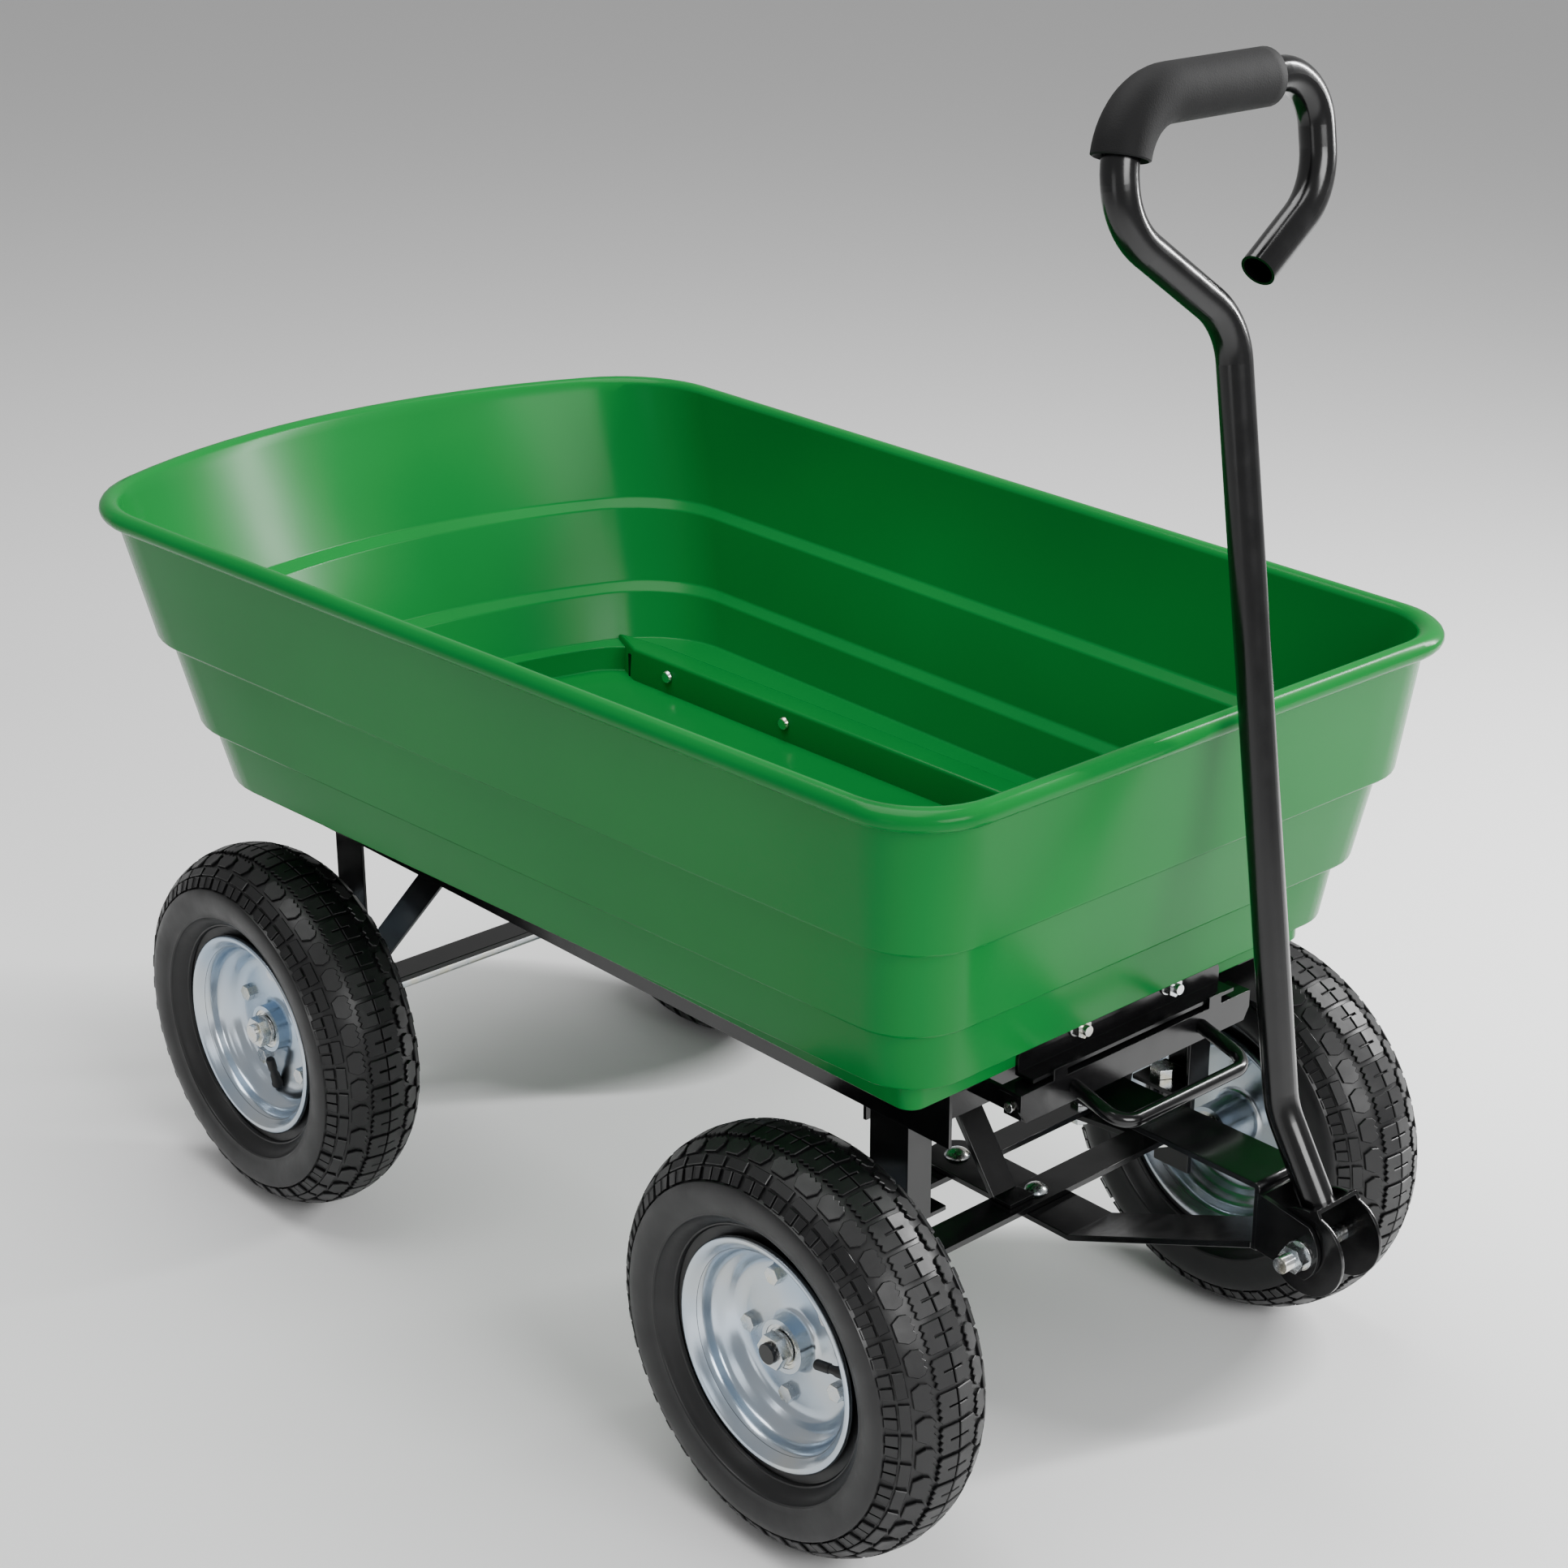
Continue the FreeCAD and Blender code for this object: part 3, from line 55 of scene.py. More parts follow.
# %% Measures taken from the frame
MM = 0.001


def centre(node):
    low, high = (Vector(corner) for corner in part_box(node))
    return (low + high) / 2


PLACES = ("front_left", "front_right", "rear_left", "rear_right")
WHEEL = {place: centre("tyre_" + place) for place in PLACES}
AXLE_X = WHEEL["front_left"].x
AXLE_Z = WHEEL["front_left"].z
print("front axle at x", round(AXLE_X, 4), "wheel centres at height", round(AXLE_Z, 4))

# %% [markdown]
# The cart stands on a plain pale floor in front of nothing. A big soft light hangs in front of
# it to the right, so that the tub's front and the inside of its rear wall are the bright faces,
# and a tall narrow one draws the white streak down the inside of the rear corner. A weak fill
# from the near side keeps the black steel readable.

# %% Floor, world and lights
def srgb(hex_code):
    """An sRGB hex colour as linear RGBA."""
    channels = [int(hex_code[i:i + 2], 16) / 255 for i in (1, 3, 5)]
    return [c / 12.92 if c <= 0.04045 else ((c + 0.055) / 1.055) ** 2.4 for c in channels] + [1.0]


def add_node(material, kind, settings=None, inputs=None):
    """Adds a node to a material, sets its properties, and sets or links its inputs."""
    node = material.node_tree.nodes.new(kind)
    for key, value in (settings or {}).items():
        setattr(node, key, value)
    for key, value in (inputs or {}).items():
        if isinstance(value, bpy.types.NodeSocket):
            material.node_tree.links.new(value, node.inputs[key])
        else:
            node.inputs[key].default_value = value
    return node


def new_material(name):
    material = bpy.data.materials.new(name)
    material.use_nodes = True
    return material, material.node_tree.nodes["Principled BSDF"]


def connect(material, socket, shader, name):
    material.node_tree.links.new(socket, shader.inputs[name])


def soft_light(name, size_x, size_y, place, target, power):
    light = bpy.data.lights.new(name, "AREA")
    light.shape = "RECTANGLE"
    light.size, light.size_y = size_x, size_y
    light.energy = power
    lamp = bpy.data.objects.new(name, light)
    lamp.location = place
    lamp.rotation_euler = (Vector(target) - Vector(place)).to_track_quat("-Z", "Y").to_euler()
    bpy.context.scene.collection.objects.link(lamp)
    return lamp


world = bpy.context.scene.world or bpy.data.worlds.new("studio")
bpy.context.scene.world = world
world.use_nodes = True
backdrop = next(n for n in world.node_tree.nodes if n.type == "BACKGROUND")
backdrop.inputs["Color"].default_value = srgb("#FFFFFF")
backdrop.inputs["Strength"].default_value = 0.42

paint, shader = new_material("pale_studio_floor")
shader.inputs["Base Color"].default_value = srgb("#EFEFEF")
shader.inputs["Roughness"].default_value = 0.8
grain = add_node(paint, "ShaderNodeTexNoise", inputs={"Scale": 900.0, "Detail": 2.0})
bump = add_node(paint, "ShaderNodeBump", inputs={"Strength": 0.02, "Height": grain.outputs[0]})
connect(paint, bump.outputs[0], shader, "Normal")
bm = bmesh.new()
bmesh.ops.create_grid(bm, x_segments=1, y_segments=1, size=14.0)
floor_mesh = bpy.data.meshes.new("floor")
bm.to_mesh(floor_mesh)
bm.free()
floor = bpy.data.objects.new("floor", floor_mesh)
floor_mesh.materials.append(paint)
bpy.context.scene.collection.objects.link(floor)

middle = (0.0, 0.0, 0.4)
soft_light("front_softbox", 1.8, 1.4, (3.3, -0.4, 2.0), middle, 95.0)
soft_light("overhead_softbox", 2.6, 2.0, (-0.4, -0.2, 3.2), middle, 95.0)
soft_light("near_side_fill", 1.2, 1.2, (0.9, -3.6, 0.9), middle, 6.0)
soft_light("streak_light", 0.12, 1.5, (0.9, 1.9, 1.6), (-0.5, 0.1, 0.45), 90.0)

# %% [markdown]
# The camera stands off the cart's front right corner, a little above the top of the handle, and
# looks down on it. A long lens keeps the perspective calm, with very little shift.

# %% Camera
AZIMUTH, ELEVATION = math.radians(47.69), math.radians(22.32)
camera_data = bpy.data.cameras.new("camera")
camera_data.lens = 67.05
camera_data.sensor_width = 36.0
camera_data.shift_x = -0.00844
camera_data.shift_y = -0.00124
camera = bpy.data.objects.new("camera", camera_data)
back = Vector((math.sin(AZIMUTH) * math.cos(ELEVATION), -math.cos(AZIMUTH) * math.cos(ELEVATION),
               math.sin(ELEVATION)))
camera.location = Vector((AXLE_X - 0.2753, -0.0008, 0.4505)) + back * 2.363
camera.rotation_euler = back.to_track_quat("Z", "Y").to_euler()
bpy.context.scene.collection.objects.link(camera)
bpy.context.scene.camera = camera
print("camera at", [round(v, 3) for v in camera.location])

# %% [markdown]
# The tub is moulded high-density polyethylene: a mid green right through, with a satin skin
# that mirrors a light as a soft-edged streak. The skin of such a moulding isn't quite flat, so
# a slow waviness two hands' widths long and a fine orange peel go into its bump. Its index of
# refraction and specular level are set lower than the real plastic's, because the pale floor
# would otherwise lay a grey haze over the outward leaning walls.

# %% Green polyethylene
OBJECT = "Object"


def object_coordinates(material):
    return add_node(material, "ShaderNodeTexCoord").outputs[OBJECT]


def noise(material, size_mm, detail=2.0, roughness=0.5, vector=None):
    """A noise whose features are about size_mm across."""
    vector = vector or object_coordinates(material)
    return add_node(material, "ShaderNodeTexNoise",
                    inputs={"Vector": vector, "Scale": 1.0 / (size_mm * MM), "Detail": detail,
                            "Roughness": roughness}).outputs[0]


def ramp(material, factor, stops):
    """Colours from (position, hex) stops along a factor."""
    node = add_node(material, "ShaderNodeValToRGB", inputs={"Fac": factor})
    while len(node.color_ramp.elements) < len(stops):
        node.color_ramp.elements.new(0.5)
    for element, (position, code) in zip(node.color_ramp.elements, stops):
        element.position = position
        element.color = srgb(code)
    return node.outputs["Color"]


def spread(material, factor, low, high):
    """A factor of 0.3 to 0.7 turned into a value from low to high."""
    return add_node(material, "ShaderNodeMapRange",
                    inputs={"Value": factor, "From Min": 0.3, "From Max": 0.7, "To Min": low,
                            "To Max": high}).outputs[0]


def relief(material, shader, layers):
    """Stacks bumps of (height, depth in mm) on a shader."""
    normal = None
    for height, depth_mm in layers:
        inputs = {"Height": height, "Strength": 1.0, "Distance": depth_mm * MM}
        if normal:
            inputs["Normal"] = normal
        normal = add_node(material, "ShaderNodeBump", inputs=inputs).outputs[0]
    connect(material, normal, shader, "Normal")


polyethylene, shader = new_material("moulded_green_polyethylene")
tone = noise(polyethylene, 260.0, 2.0)
connect(polyethylene, ramp(polyethylene, tone, [(0.3, "#0B6A2C"), (0.7, "#0D7230")]), shader, "Base Color")
connect(polyethylene, spread(polyethylene, noise(polyethylene, 90.0, 1.0), 0.2, 0.25), shader, "Roughness")
shader.inputs["IOR"].default_value = 1.36
shader.inputs["Specular IOR Level"].default_value = 0.16
relief(polyethylene, shader,
       [(noise(polyethylene, 200.0, 0.0), 0.8), (noise(polyethylene, 2.5, 1.0), 0.006)])
print("finish:", polyethylene.name)

# %% [markdown]
# The steel is welded up, blasted and coated in gloss black powder. Powder flows out into a
# fine orange peel a millimetre or so across, which breaks each highlight into a soft grain.
# That grain is drawn at 1.5 mm so that it shows at arm's length.

# %% Black powder coat
powder_coat, shader = new_material("black_powder_coat")
connect(powder_coat, ramp(powder_coat, noise(powder_coat, 60.0, 3.0), [(0.3, "#060607"), (0.7, "#0A0A0B")]),
        shader, "Base Color")
connect(powder_coat, spread(powder_coat, noise(powder_coat, 18.0, 2.0), 0.16, 0.24), shader, "Roughness")
relief(powder_coat, shader, [(noise(powder_coat, 1.5, 1.0), 0.015), (noise(powder_coat, 30.0, 1.0), 0.1)])
print("finish:", powder_coat.name)

# %% [markdown]
# Rims and fasteners are pressed steel with blue-white passivated zinc: a bright, slightly milky
# metal that swings between sky blue and grey on the rims, and to straw yellow on the bolts,
# where the passivate is thicker.

# %% Blue-white zinc plate
def zinc_plate(name, patch_mm, stops, rough_low, rough_high):
    material, shader = new_material(name)
    connect(material, ramp(material, noise(material, patch_mm, 2.0), stops), shader, "Base Color")
    connect(material, spread(material, noise(material, patch_mm / 5, 3.0), rough_low, rough_high),
            shader, "Roughness")
    shader.inputs["Metallic"].default_value = 1.0
    relief(material, shader, [(noise(material, 1.2, 2.0), 0.01), (noise(material, 30.0, 1.0), 0.08)])
    return material


rim_zinc = zinc_plate("blue_white_zinc_pressed_rim", 75.0,
                      [(0.3, "#B0C2D4"), (0.5, "#C2CCD6"), (0.7, "#CCD0D0")], 0.2, 0.26)
bolt_zinc = zinc_plate("bright_zinc_fastener", 14.0,
                       [(0.3, "#C4CCD2"), (0.5, "#D6D8D8"), (0.7, "#DAD6C2")], 0.16, 0.3)
print("finishes:", rim_zinc.name, bolt_zinc.name)

# %% [markdown]
# Tyre rubber is filled with carbon black. A new tyre has a faint waxy bloom, so the sidewall
# shows a broad grey sheen while the grooves stay black. Its mould texture is under a
# millimetre, and the release agent leaves cloudy patches in the gloss.

# %% Tyre rubber, foam and moulded rubber
tyre_rubber, shader = new_material("carbon_black_tyre_rubber")
connect(tyre_rubber, ramp(tyre_rubber, noise(tyre_rubber, 35.0, 3.0), [(0.3, "#030304"), (0.7, "#060608")]),
        shader, "Base Color")
connect(tyre_rubber, spread(tyre_rubber, noise(tyre_rubber, 25.0, 3.0), 0.36, 0.5), shader, "Roughness")
relief(tyre_rubber, shader, [(noise(tyre_rubber, 0.9, 2.0), 0.04), (noise(tyre_rubber, 9.0, 2.0), 0.12)])

grip_foam, shader = new_material("closed_cell_grip_foam")
cells = add_node(grip_foam, "ShaderNodeTexVoronoi",
                 inputs={"Vector": object_coordinates(grip_foam), "Scale": 1.0 / (1.1 * MM)}).outputs[0]
connect(grip_foam, ramp(grip_foam, noise(grip_foam, 12.0, 3.0), [(0.3, "#030304"), (0.7, "#060607")]),
        shader, "Base Color")
shader.inputs["Roughness"].default_value = 0.72
shader.inputs["Specular IOR Level"].default_value = 0.25
relief(grip_foam, shader, [(cells, 0.08), (noise(grip_foam, 22.0, 1.0), 0.3)])

black_rubber, shader = new_material("moulded_black_rubber")
connect(black_rubber, ramp(black_rubber, noise(black_rubber, 6.0), [(0.3, "#0C0C0C"), (0.7, "#161617")]),
        shader, "Base Color")
shader.inputs["Roughness"].default_value = 0.5
relief(black_rubber, shader, [(noise(black_rubber, 0.8), 0.03)])
print("finishes:", tyre_rubber.name, grip_foam.name, black_rubber.name)

# %% [markdown]
# The frame's plates, tubes and bolts keep the shapes they were packed with. Real pressed and
# sawn edges aren't razor sharp, so a weld, a planar clean-up and a narrow bevel modifier give
# each one a rounded edge that catches the light, without touching its mesh.

# %% Finish the carried-over steel
MODELLED_AGAIN = ["tub", "handle_grip", "latch_spring", "tub_bolts"]
WHEEL_PARTS = ("tyre", "rim", "bearings", "valve_stem")
MODELLED_AGAIN += [part + "_" + place for part in WHEEL_PARTS for place in PLACES]
ZINC = ("bolts", "nut", "kingpins", "pin", "rear_axle", "pivot_bolt")


def soften_edges(obj, width_mm, segments=2, angle_deg=30.0):
    weld = obj.modifiers.new("weld", "WELD")
    weld.merge_threshold = 0.02 * MM
    flat = obj.modifiers.new("planar", "DECIMATE")
    flat.decimate_type = "DISSOLVE"
    flat.angle_limit = math.radians(1.0)
    bevel = obj.modifiers.new("edge", "BEVEL")
    bevel.width = width_mm * MM
    bevel.segments = segments
    bevel.limit_method = "ANGLE"
    bevel.angle_limit = math.radians(angle_deg)
    bevel.harden_normals = True


for name, obj in nodes.items():
    if name in MODELLED_AGAIN:
        continue
    is_zinc = name.startswith("rim_bolts") or any(word in name for word in ZINC)
    finish = bolt_zinc if is_zinc else powder_coat
    obj.data.materials.clear()
    obj.data.materials.append(finish)
    if name != "handle_tube":
        soften_edges(obj, 0.5 if is_zinc else 0.7)
print("carried over:", len(nodes) - len(MODELLED_AGAIN), "nodes")

# %% [markdown]
# Every new piece ends the same way: doubles merged, faces turned outwards, smooth shading with
# sharp edges kept by angle, a finish, and a body of the frame to ride on.


def finish_piece(name, bm, body, finish, stands_for=(), sharp_deg=35.0):
    bmesh.ops.remove_doubles(bm, verts=bm.verts, dist=0.01 * MM)
    bmesh.ops.recalc_face_normals(bm, faces=bm.faces)
    mesh = bpy.data.meshes.new(name)
    bm.to_mesh(mesh)
    bm.free()
    mesh.polygons.foreach_set("use_smooth", [True] * len(mesh.polygons))
    mesh.set_sharp_from_angle(angle=math.radians(sharp_deg))
    mesh.materials.append(finish)
    piece = bpy.data.objects.new(name, mesh)
    bpy.context.scene.collection.objects.link(piece)
    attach(piece, body)
    if stands_for:
        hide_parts(*stands_for)
    return piece


def section(bm, points):
    """A chain of edges through (x, y, z) points, closed if the last point is the first."""
    closed = points[0] == points[-1]
    verts = [bm.verts.new(p) for p in (points[:-1] if closed else points)]
    pairs = list(zip(verts, verts[1:])) + ([(verts[-1], verts[0])] if closed else [])
    return verts, [bm.edges.new(pair) for pair in pairs]


def turn_section(bm, points, centre_point, axis, steps):
    """Turns a section of points into a full ring about an axis."""
    verts, edges = section(bm, points)
    bmesh.ops.spin(bm, geom=verts + edges, cent=centre_point, axis=axis, angle=math.tau,
                   steps=steps, use_merge=True, use_normal_flip=False, use_duplicate=False)


print("helper ready")

# %% [markdown]
# The tub is one moulding with a rolled lip, two stepped bands and a skirt, wider at its bowed
# rear end. Each level of it is the same outline, only set in by another amount. Half the
# outline is drawn as arcs, each made by turning one vertex about the arc's centre: the front
# corner, the tapering side, the rear corner and half the bow. A mirrored copy closes it, and
# the levels are then joined like hoops with bridge_loops, up the outside, round the lip and
# down the inside.

# %% The tub's outline at one level
LIP_FRONT, LIP_REAR = 151.5, -915.0
HALF_FRONT, HALF_REAR = 283.0, 320.0
BOW_R = 600.0


def tub_level(z, side, front, rear):
    """Height, front line, half width there, rear line, half width there, corner radii."""
    return (z, LIP_FRONT - front, HALF_FRONT - side, LIP_REAR + rear, HALF_REAR - side,
            62.0 - 0.3 * side, 110.0 - 0.3 * side)


def skirt_level(z, inset):
    return (z, 76.0 - inset, 215.0 - inset, -790.0 + inset, 215.0 - inset, 14.0 - inset, 60.0 - inset)


def arc(bm, about, radius, start, stop, steps):
    """An arc about an upright axis, made by turning one vertex."""
    vert = bm.verts.new(about + radius * Vector((math.cos(start), math.sin(start), 0.0)))
    bmesh.ops.spin(bm, geom=[vert], cent=about, axis=(0, 0, 1), angle=stop - start, steps=steps,
                   use_merge=False, use_normal_flip=False, use_duplicate=False)


def line(bm, start, stop, cuts):
    edge = bm.edges.new((bm.verts.new(start), bm.verts.new(stop)))
    bmesh.ops.bisect_edges(bm, edges=[edge], cuts=cuts)


def fresh(bm, layer):
    return [v for v in bm.verts if v[layer] == 0]


def outline_hoop(bm, level, number, capped):
    """Draws one hoop of the tub, with a face across it if capped, and marks it with its number."""
    layer = bm.verts.layers.int["hoop"]
    z, front_x, half_front, rear_x, half_rear, front_r, rear_r = level
    slope = (half_front - half_rear) / (front_x - rear_x)
    stretch = math.hypot(1.0, slope)
    side_angle = math.atan2(1.0, -slope)
    front_c = Vector((front_x - front_r, half_front - slope * front_r - front_r * stretch, z))
    offset = half_front - slope * front_x - rear_r * stretch
    bow_c = Vector((rear_x + BOW_R, 0.0, z))
    a, b = 1.0 + slope ** 2, 2.0 * (offset * slope - bow_c.x)
    c = bow_c.x ** 2 + offset ** 2 - (BOW_R - rear_r) ** 2
    rear_c_x = (-b - math.sqrt(b * b - 4.0 * a * c)) / (2.0 * a)
    rear_c = Vector((rear_c_x, slope * rear_c_x + offset, z))
    bow_angle = math.atan2(rear_c.y, rear_c.x - bow_c.x)
    outwards = Vector((math.cos(side_angle), math.sin(side_angle), 0.0))
    arc(bm, front_c, front_r, 0.0, side_angle, 9)
    line(bm, front_c + front_r * outwards, rear_c + rear_r * outwards, 9)
    arc(bm, rear_c, rear_r, side_angle, bow_angle, 9)
    arc(bm, bow_c, BOW_R, bow_angle, math.pi, 8)
    half = fresh(bm, layer)
    half_edges = list({e for v in half for e in v.link_edges})
    copy = bmesh.ops.duplicate(bm, geom=half + half_edges)["geom"]
    other = [g for g in copy if isinstance(g, bmesh.types.BMVert)]
    bmesh.ops.scale(bm, vec=(1.0, -1.0, 1.0), verts=other)
    line(bm, (front_x, front_c.y, z), (front_x, -front_c.y, z), 15)
    bmesh.ops.remove_doubles(bm, verts=fresh(bm, layer), dist=0.001)
    if capped:
        bmesh.ops.contextual_create(bm, geom=[e for e in bm.edges if e.verts[0][layer] == 0])
    for vert in fresh(bm, layer):
        vert[layer] = number


def hoop_edges(bm, number):
    layer = bm.verts.layers.int["hoop"]
    return [e for e in bm.edges if e.verts[0][layer] == number == e.verts[1][layer]]


bm = bmesh.new()
bm.verts.layers.int.new("hoop")
outline_hoop(bm, tub_level(622.0, 3.0, 3.0, 3.0), 1, True)
print("one hoop has", len(hoop_edges(bm, 1)), "edges, x from", round(min(v.co.x for v in bm.verts), 1),
      "to", round(max(v.co.x for v in bm.verts), 1))
bm.free()

# %% [markdown]
# The list of levels is the tub's section. The lip is a full roll of 8.5 mm radius, drawn as
# hoops around a small circle. The floor closes the inside and the outside. A bevel modifier
# rounds the steps, because a moulding has no sharp corner anywhere.

# %% The tub
LIP_Z, LIP_R, WALL = 622.0, 8.5, 4.0
OUTSIDE = [tub_level(*row) for row in ((392.0, 49.0, 54.0, 112.0), (437.0, 42.0, 48.0, 96.0),
                                       (443.0, 32.0, 38.0, 84.0), (511.0, 24.0, 25.0, 57.0),
                                       (517.0, 14.0, 14.0, 45.0), (613.8, 3.2, 3.2, 6.0))]
ROLL = [tub_level(LIP_Z + LIP_R * math.sin(math.radians(a)), *[-LIP_R * math.cos(math.radians(a))] * 3)
        for a in range(-84, 157, 24)]
INSIDE = [tub_level(row[0], row[1] + WALL, row[2] + WALL, row[3] + WALL) for row in
          ((617.0, 3.6, 3.6, 7.0), (519.5, 14.0, 14.0, 45.0), (513.5, 24.0, 25.0, 57.0),
           (445.5, 32.0, 38.0, 84.0), (439.5, 42.0, 48.0, 96.0), (396.0, 49.0, 54.0, 112.0))]
LEVELS = ([skirt_level(367.0, 0.0), skirt_level(391.0, 0.0)] + OUTSIDE + ROLL + INSIDE
          + [skirt_level(395.0, WALL), skirt_level(371.0, WALL)])
bm = bmesh.new()
bm.verts.layers.int.new("hoop")
for number, level in enumerate(LEVELS, 1):
    outline_hoop(bm, level, number, number in (1, len(LEVELS)))
for number in range(1, len(LEVELS)):
    bmesh.ops.bridge_loops(bm, edges=hoop_edges(bm, number) + hoop_edges(bm, number + 1))
bmesh.ops.scale(bm, vec=(MM, MM, MM), verts=bm.verts)
bmesh.ops.translate(bm, vec=(AXLE_X, 0.0, 0.0), verts=bm.verts)
tub = finish_piece("moulded_tub", bm, "tub", polyethylene, ["tub"], 180.0)
bevel = tub.modifiers.new("moulded_edges", "BEVEL")
bevel.width = 4.0 * MM
bevel.segments = 3
bevel.limit_method = "ANGLE"
bevel.angle_limit = math.radians(24.0)
print("tub:", len(tub.data.polygons), "faces from", len(LEVELS), "hoops")

# %% [markdown]
# Along each side of the tub's floor runs a raised ledge that the hinge bracket bolts through.
# Its rear end is drawn out to a point. It starts as a flat outline and is extruded up, leaning
# a little outwards, and its long upper edges are rounded.

# %% Floor ledges
def floor_ledge(side):
    bm = bmesh.new()
    outline = [(66.0, 187.0), (66.0, 214.0), (-705.0, 214.0), (-762.0, 206.0), (-716.0, 187.0)]
    verts = [bm.verts.new((x, y * side, 370.0)) for x, y in outline]
    face = bm.faces.new(verts)
    lifted = bmesh.ops.extrude_face_region(bm, geom=[face])["geom"]
    top = [g for g in lifted if isinstance(g, bmesh.types.BMVert)]
    bmesh.ops.translate(bm, vec=(0.0, 1.5 * side, 33.0), verts=top)
    long_edges = [e for e in bm.edges if e.calc_length() > 25.0 and min(v.co.z for v in e.verts) > 380.0]
    bmesh.ops.bevel(bm, geom=long_edges, offset=3.5, offset_type="OFFSET", affect="EDGES", segments=3,
                    profile=0.5, material=-1)
    bmesh.ops.scale(bm, vec=(MM, MM, MM), verts=bm.verts)
    bmesh.ops.translate(bm, vec=(AXLE_X, 0.0, 0.0), verts=bm.verts)
    return bm


for side, word in ((1, "left"), (-1, "right")):
    finish_piece("floor_ledge_" + word, floor_ledge(side), "tub", polyethylene, (), 50.0)
print("ledges: 2")

# %% [markdown]
# A garden tyre's section is two arcs: a wide crown and a tight side. The tread is a pattern of
# rubber blocks, forty times round. Each block starts as a flat outline, gets its height and a
# small bevel, and is wrapped onto the section. One pitch is made, and a spin with duplicates
# repeats it round the wheel.

# %% The tyre's section and how a block is wrapped onto it
TYRE_R = 165.0
CROWN_R = 62.0
CROWN_C = TYRE_R - CROWN_R
SIDE_R, SIDE_C = 31.0, (127.5, 19.0)
TURN = math.asin(38.0 / CROWN_R)
CROWN_LENGTH = CROWN_R * TURN
PITCHES = 40
TREAD_DEPTH = 3.0


def section_point(across, lift=0.0):
    """Radius and offset of a point of the tyre's section, across mm from the middle."""
    distance, side = abs(across), math.copysign(1.0, across)
    if distance < CROWN_LENGTH:
        angle = distance / CROWN_R
        return CROWN_C + (CROWN_R + lift) * math.cos(angle), side * (CROWN_R + lift) * math.sin(angle)
    angle = TURN + (distance - CROWN_LENGTH) / SIDE_R
    return (SIDE_C[0] + (SIDE_R + lift) * math.cos(angle),
            side * (SIDE_C[1] + (SIDE_R + lift) * math.sin(angle)))


def add_block(bm, outline, along_offset, side):
    """A tread block from its (along, across) outline, wrapped onto the tyre."""
    verts = [bm.verts.new((along + along_offset, across, -TREAD_DEPTH)) for along, across in outline]
    face = bm.faces.new(verts)
    lifted = bmesh.ops.extrude_face_region(bm, geom=[face])["geom"]
    top = [g for g in lifted if isinstance(g, bmesh.types.BMFace)]
    bmesh.ops.translate(bm, vec=(0.0, 0.0, TREAD_DEPTH - 0.6), verts=top[0].verts)
    inner = bmesh.ops.inset_region(bm, faces=top, thickness=0.55, depth=0.6, use_even_offset=True)
    block = set(verts) | {v for f in inner["faces"] + top for v in f.verts}
    bmesh.ops.delete(bm, geom=[face], context="FACES_ONLY")
    for vert in block:
        along, across, lift = vert.co
        radius, offset = section_point(across * side, min(lift, 0.0))
        angle = along / TYRE_R
        vert.co = (radius * math.cos(angle), offset, radius * math.sin(angle))


CENTRE_BLOCK = [(-11.2, 0.7), (-0.7, 0.7), (-0.7, 8.5), (0.7, 8.5), (0.7, 0.7), (11.2, 0.7),
                (11.2, 15.0), (8.4, 17.4), (5.6, 15.2), (2.8, 17.8), (0.0, 15.4), (-2.8, 17.8),
                (-5.6, 15.2), (-8.4, 17.4), (-11.2, 15.0)]
HEX_BLOCK = [(-9.5, 22.5), (-5.6, 19.8), (-2.8, 22.0), (0.0, 19.6), (2.8, 22.0), (5.6, 19.8),
             (9.5, 22.5), (10.8, 28.0), (7.0, 35.0), (-7.0, 35.0), (-10.8, 28.0)]
SHOULDER_BLOCK = [(-10.0, 37.5), (10.0, 37.5), (11.0, 46.0), (-11.0, 46.0)]
EDGE_BLOCK = [(1.0, 47.8), (10.6, 47.8), (9.6, 57.5), (1.0, 57.5)]
PITCH = math.tau * TYRE_R / PITCHES
print("tread pitch", round(PITCH, 2), "mm")

# %% One tyre
bm = bmesh.new()
for side in (1, -1):
    add_block(bm, CENTRE_BLOCK, 0.0, side)
    add_block(bm, HEX_BLOCK, PITCH / 2, side)
    add_block(bm, SHOULDER_BLOCK, 0.0, side)
    add_block(bm, EDGE_BLOCK, 0.0, side)
    add_block(bm, [(-along, across) for along, across in EDGE_BLOCK], 0.0, side)
bmesh.ops.spin(bm, geom=bm.verts[:] + bm.edges[:] + bm.faces[:], cent=(0, 0, 0), axis=(0, 1, 0),
               angle=math.tau * (PITCHES - 1) / PITCHES, steps=PITCHES - 1, use_duplicate=True,
               use_merge=False, use_normal_flip=False)
LOW = -TREAD_DEPTH + 0.4
tread = [(across, LOW) for across in range(0, 58, 6)] + [(57.5, LOW), (59.5, -0.4), (61.0, 0.0)]
sidewall = [(67.0, 0.0), (74.0, 0.0), (80.0, 0.0), (84.0, 0.0), (85.0, 0.7), (86.5, 0.7), (87.5, 0.0),
            (92.0, 0.0), (97.0, 0.0), (100.5, 0.0), (101.5, 0.8), (104.0, 0.8), (105.0, -0.8)]
outer = [section_point(across, lift) for across, lift in tread + sidewall]
foot = outer[-1]
bead = [(foot[0] - 5.0, foot[1] - 2.0), (80.0, 30.5), (80.0, 24.0), (93.0, 27.5), (104.0, 34.0),
        (122.0, 43.0), (142.0, 37.0), (152.0, 20.0), (155.0, 0.0)]
right = outer + bead
left = [(r, -a) for r, a in reversed(right[1:-1])]
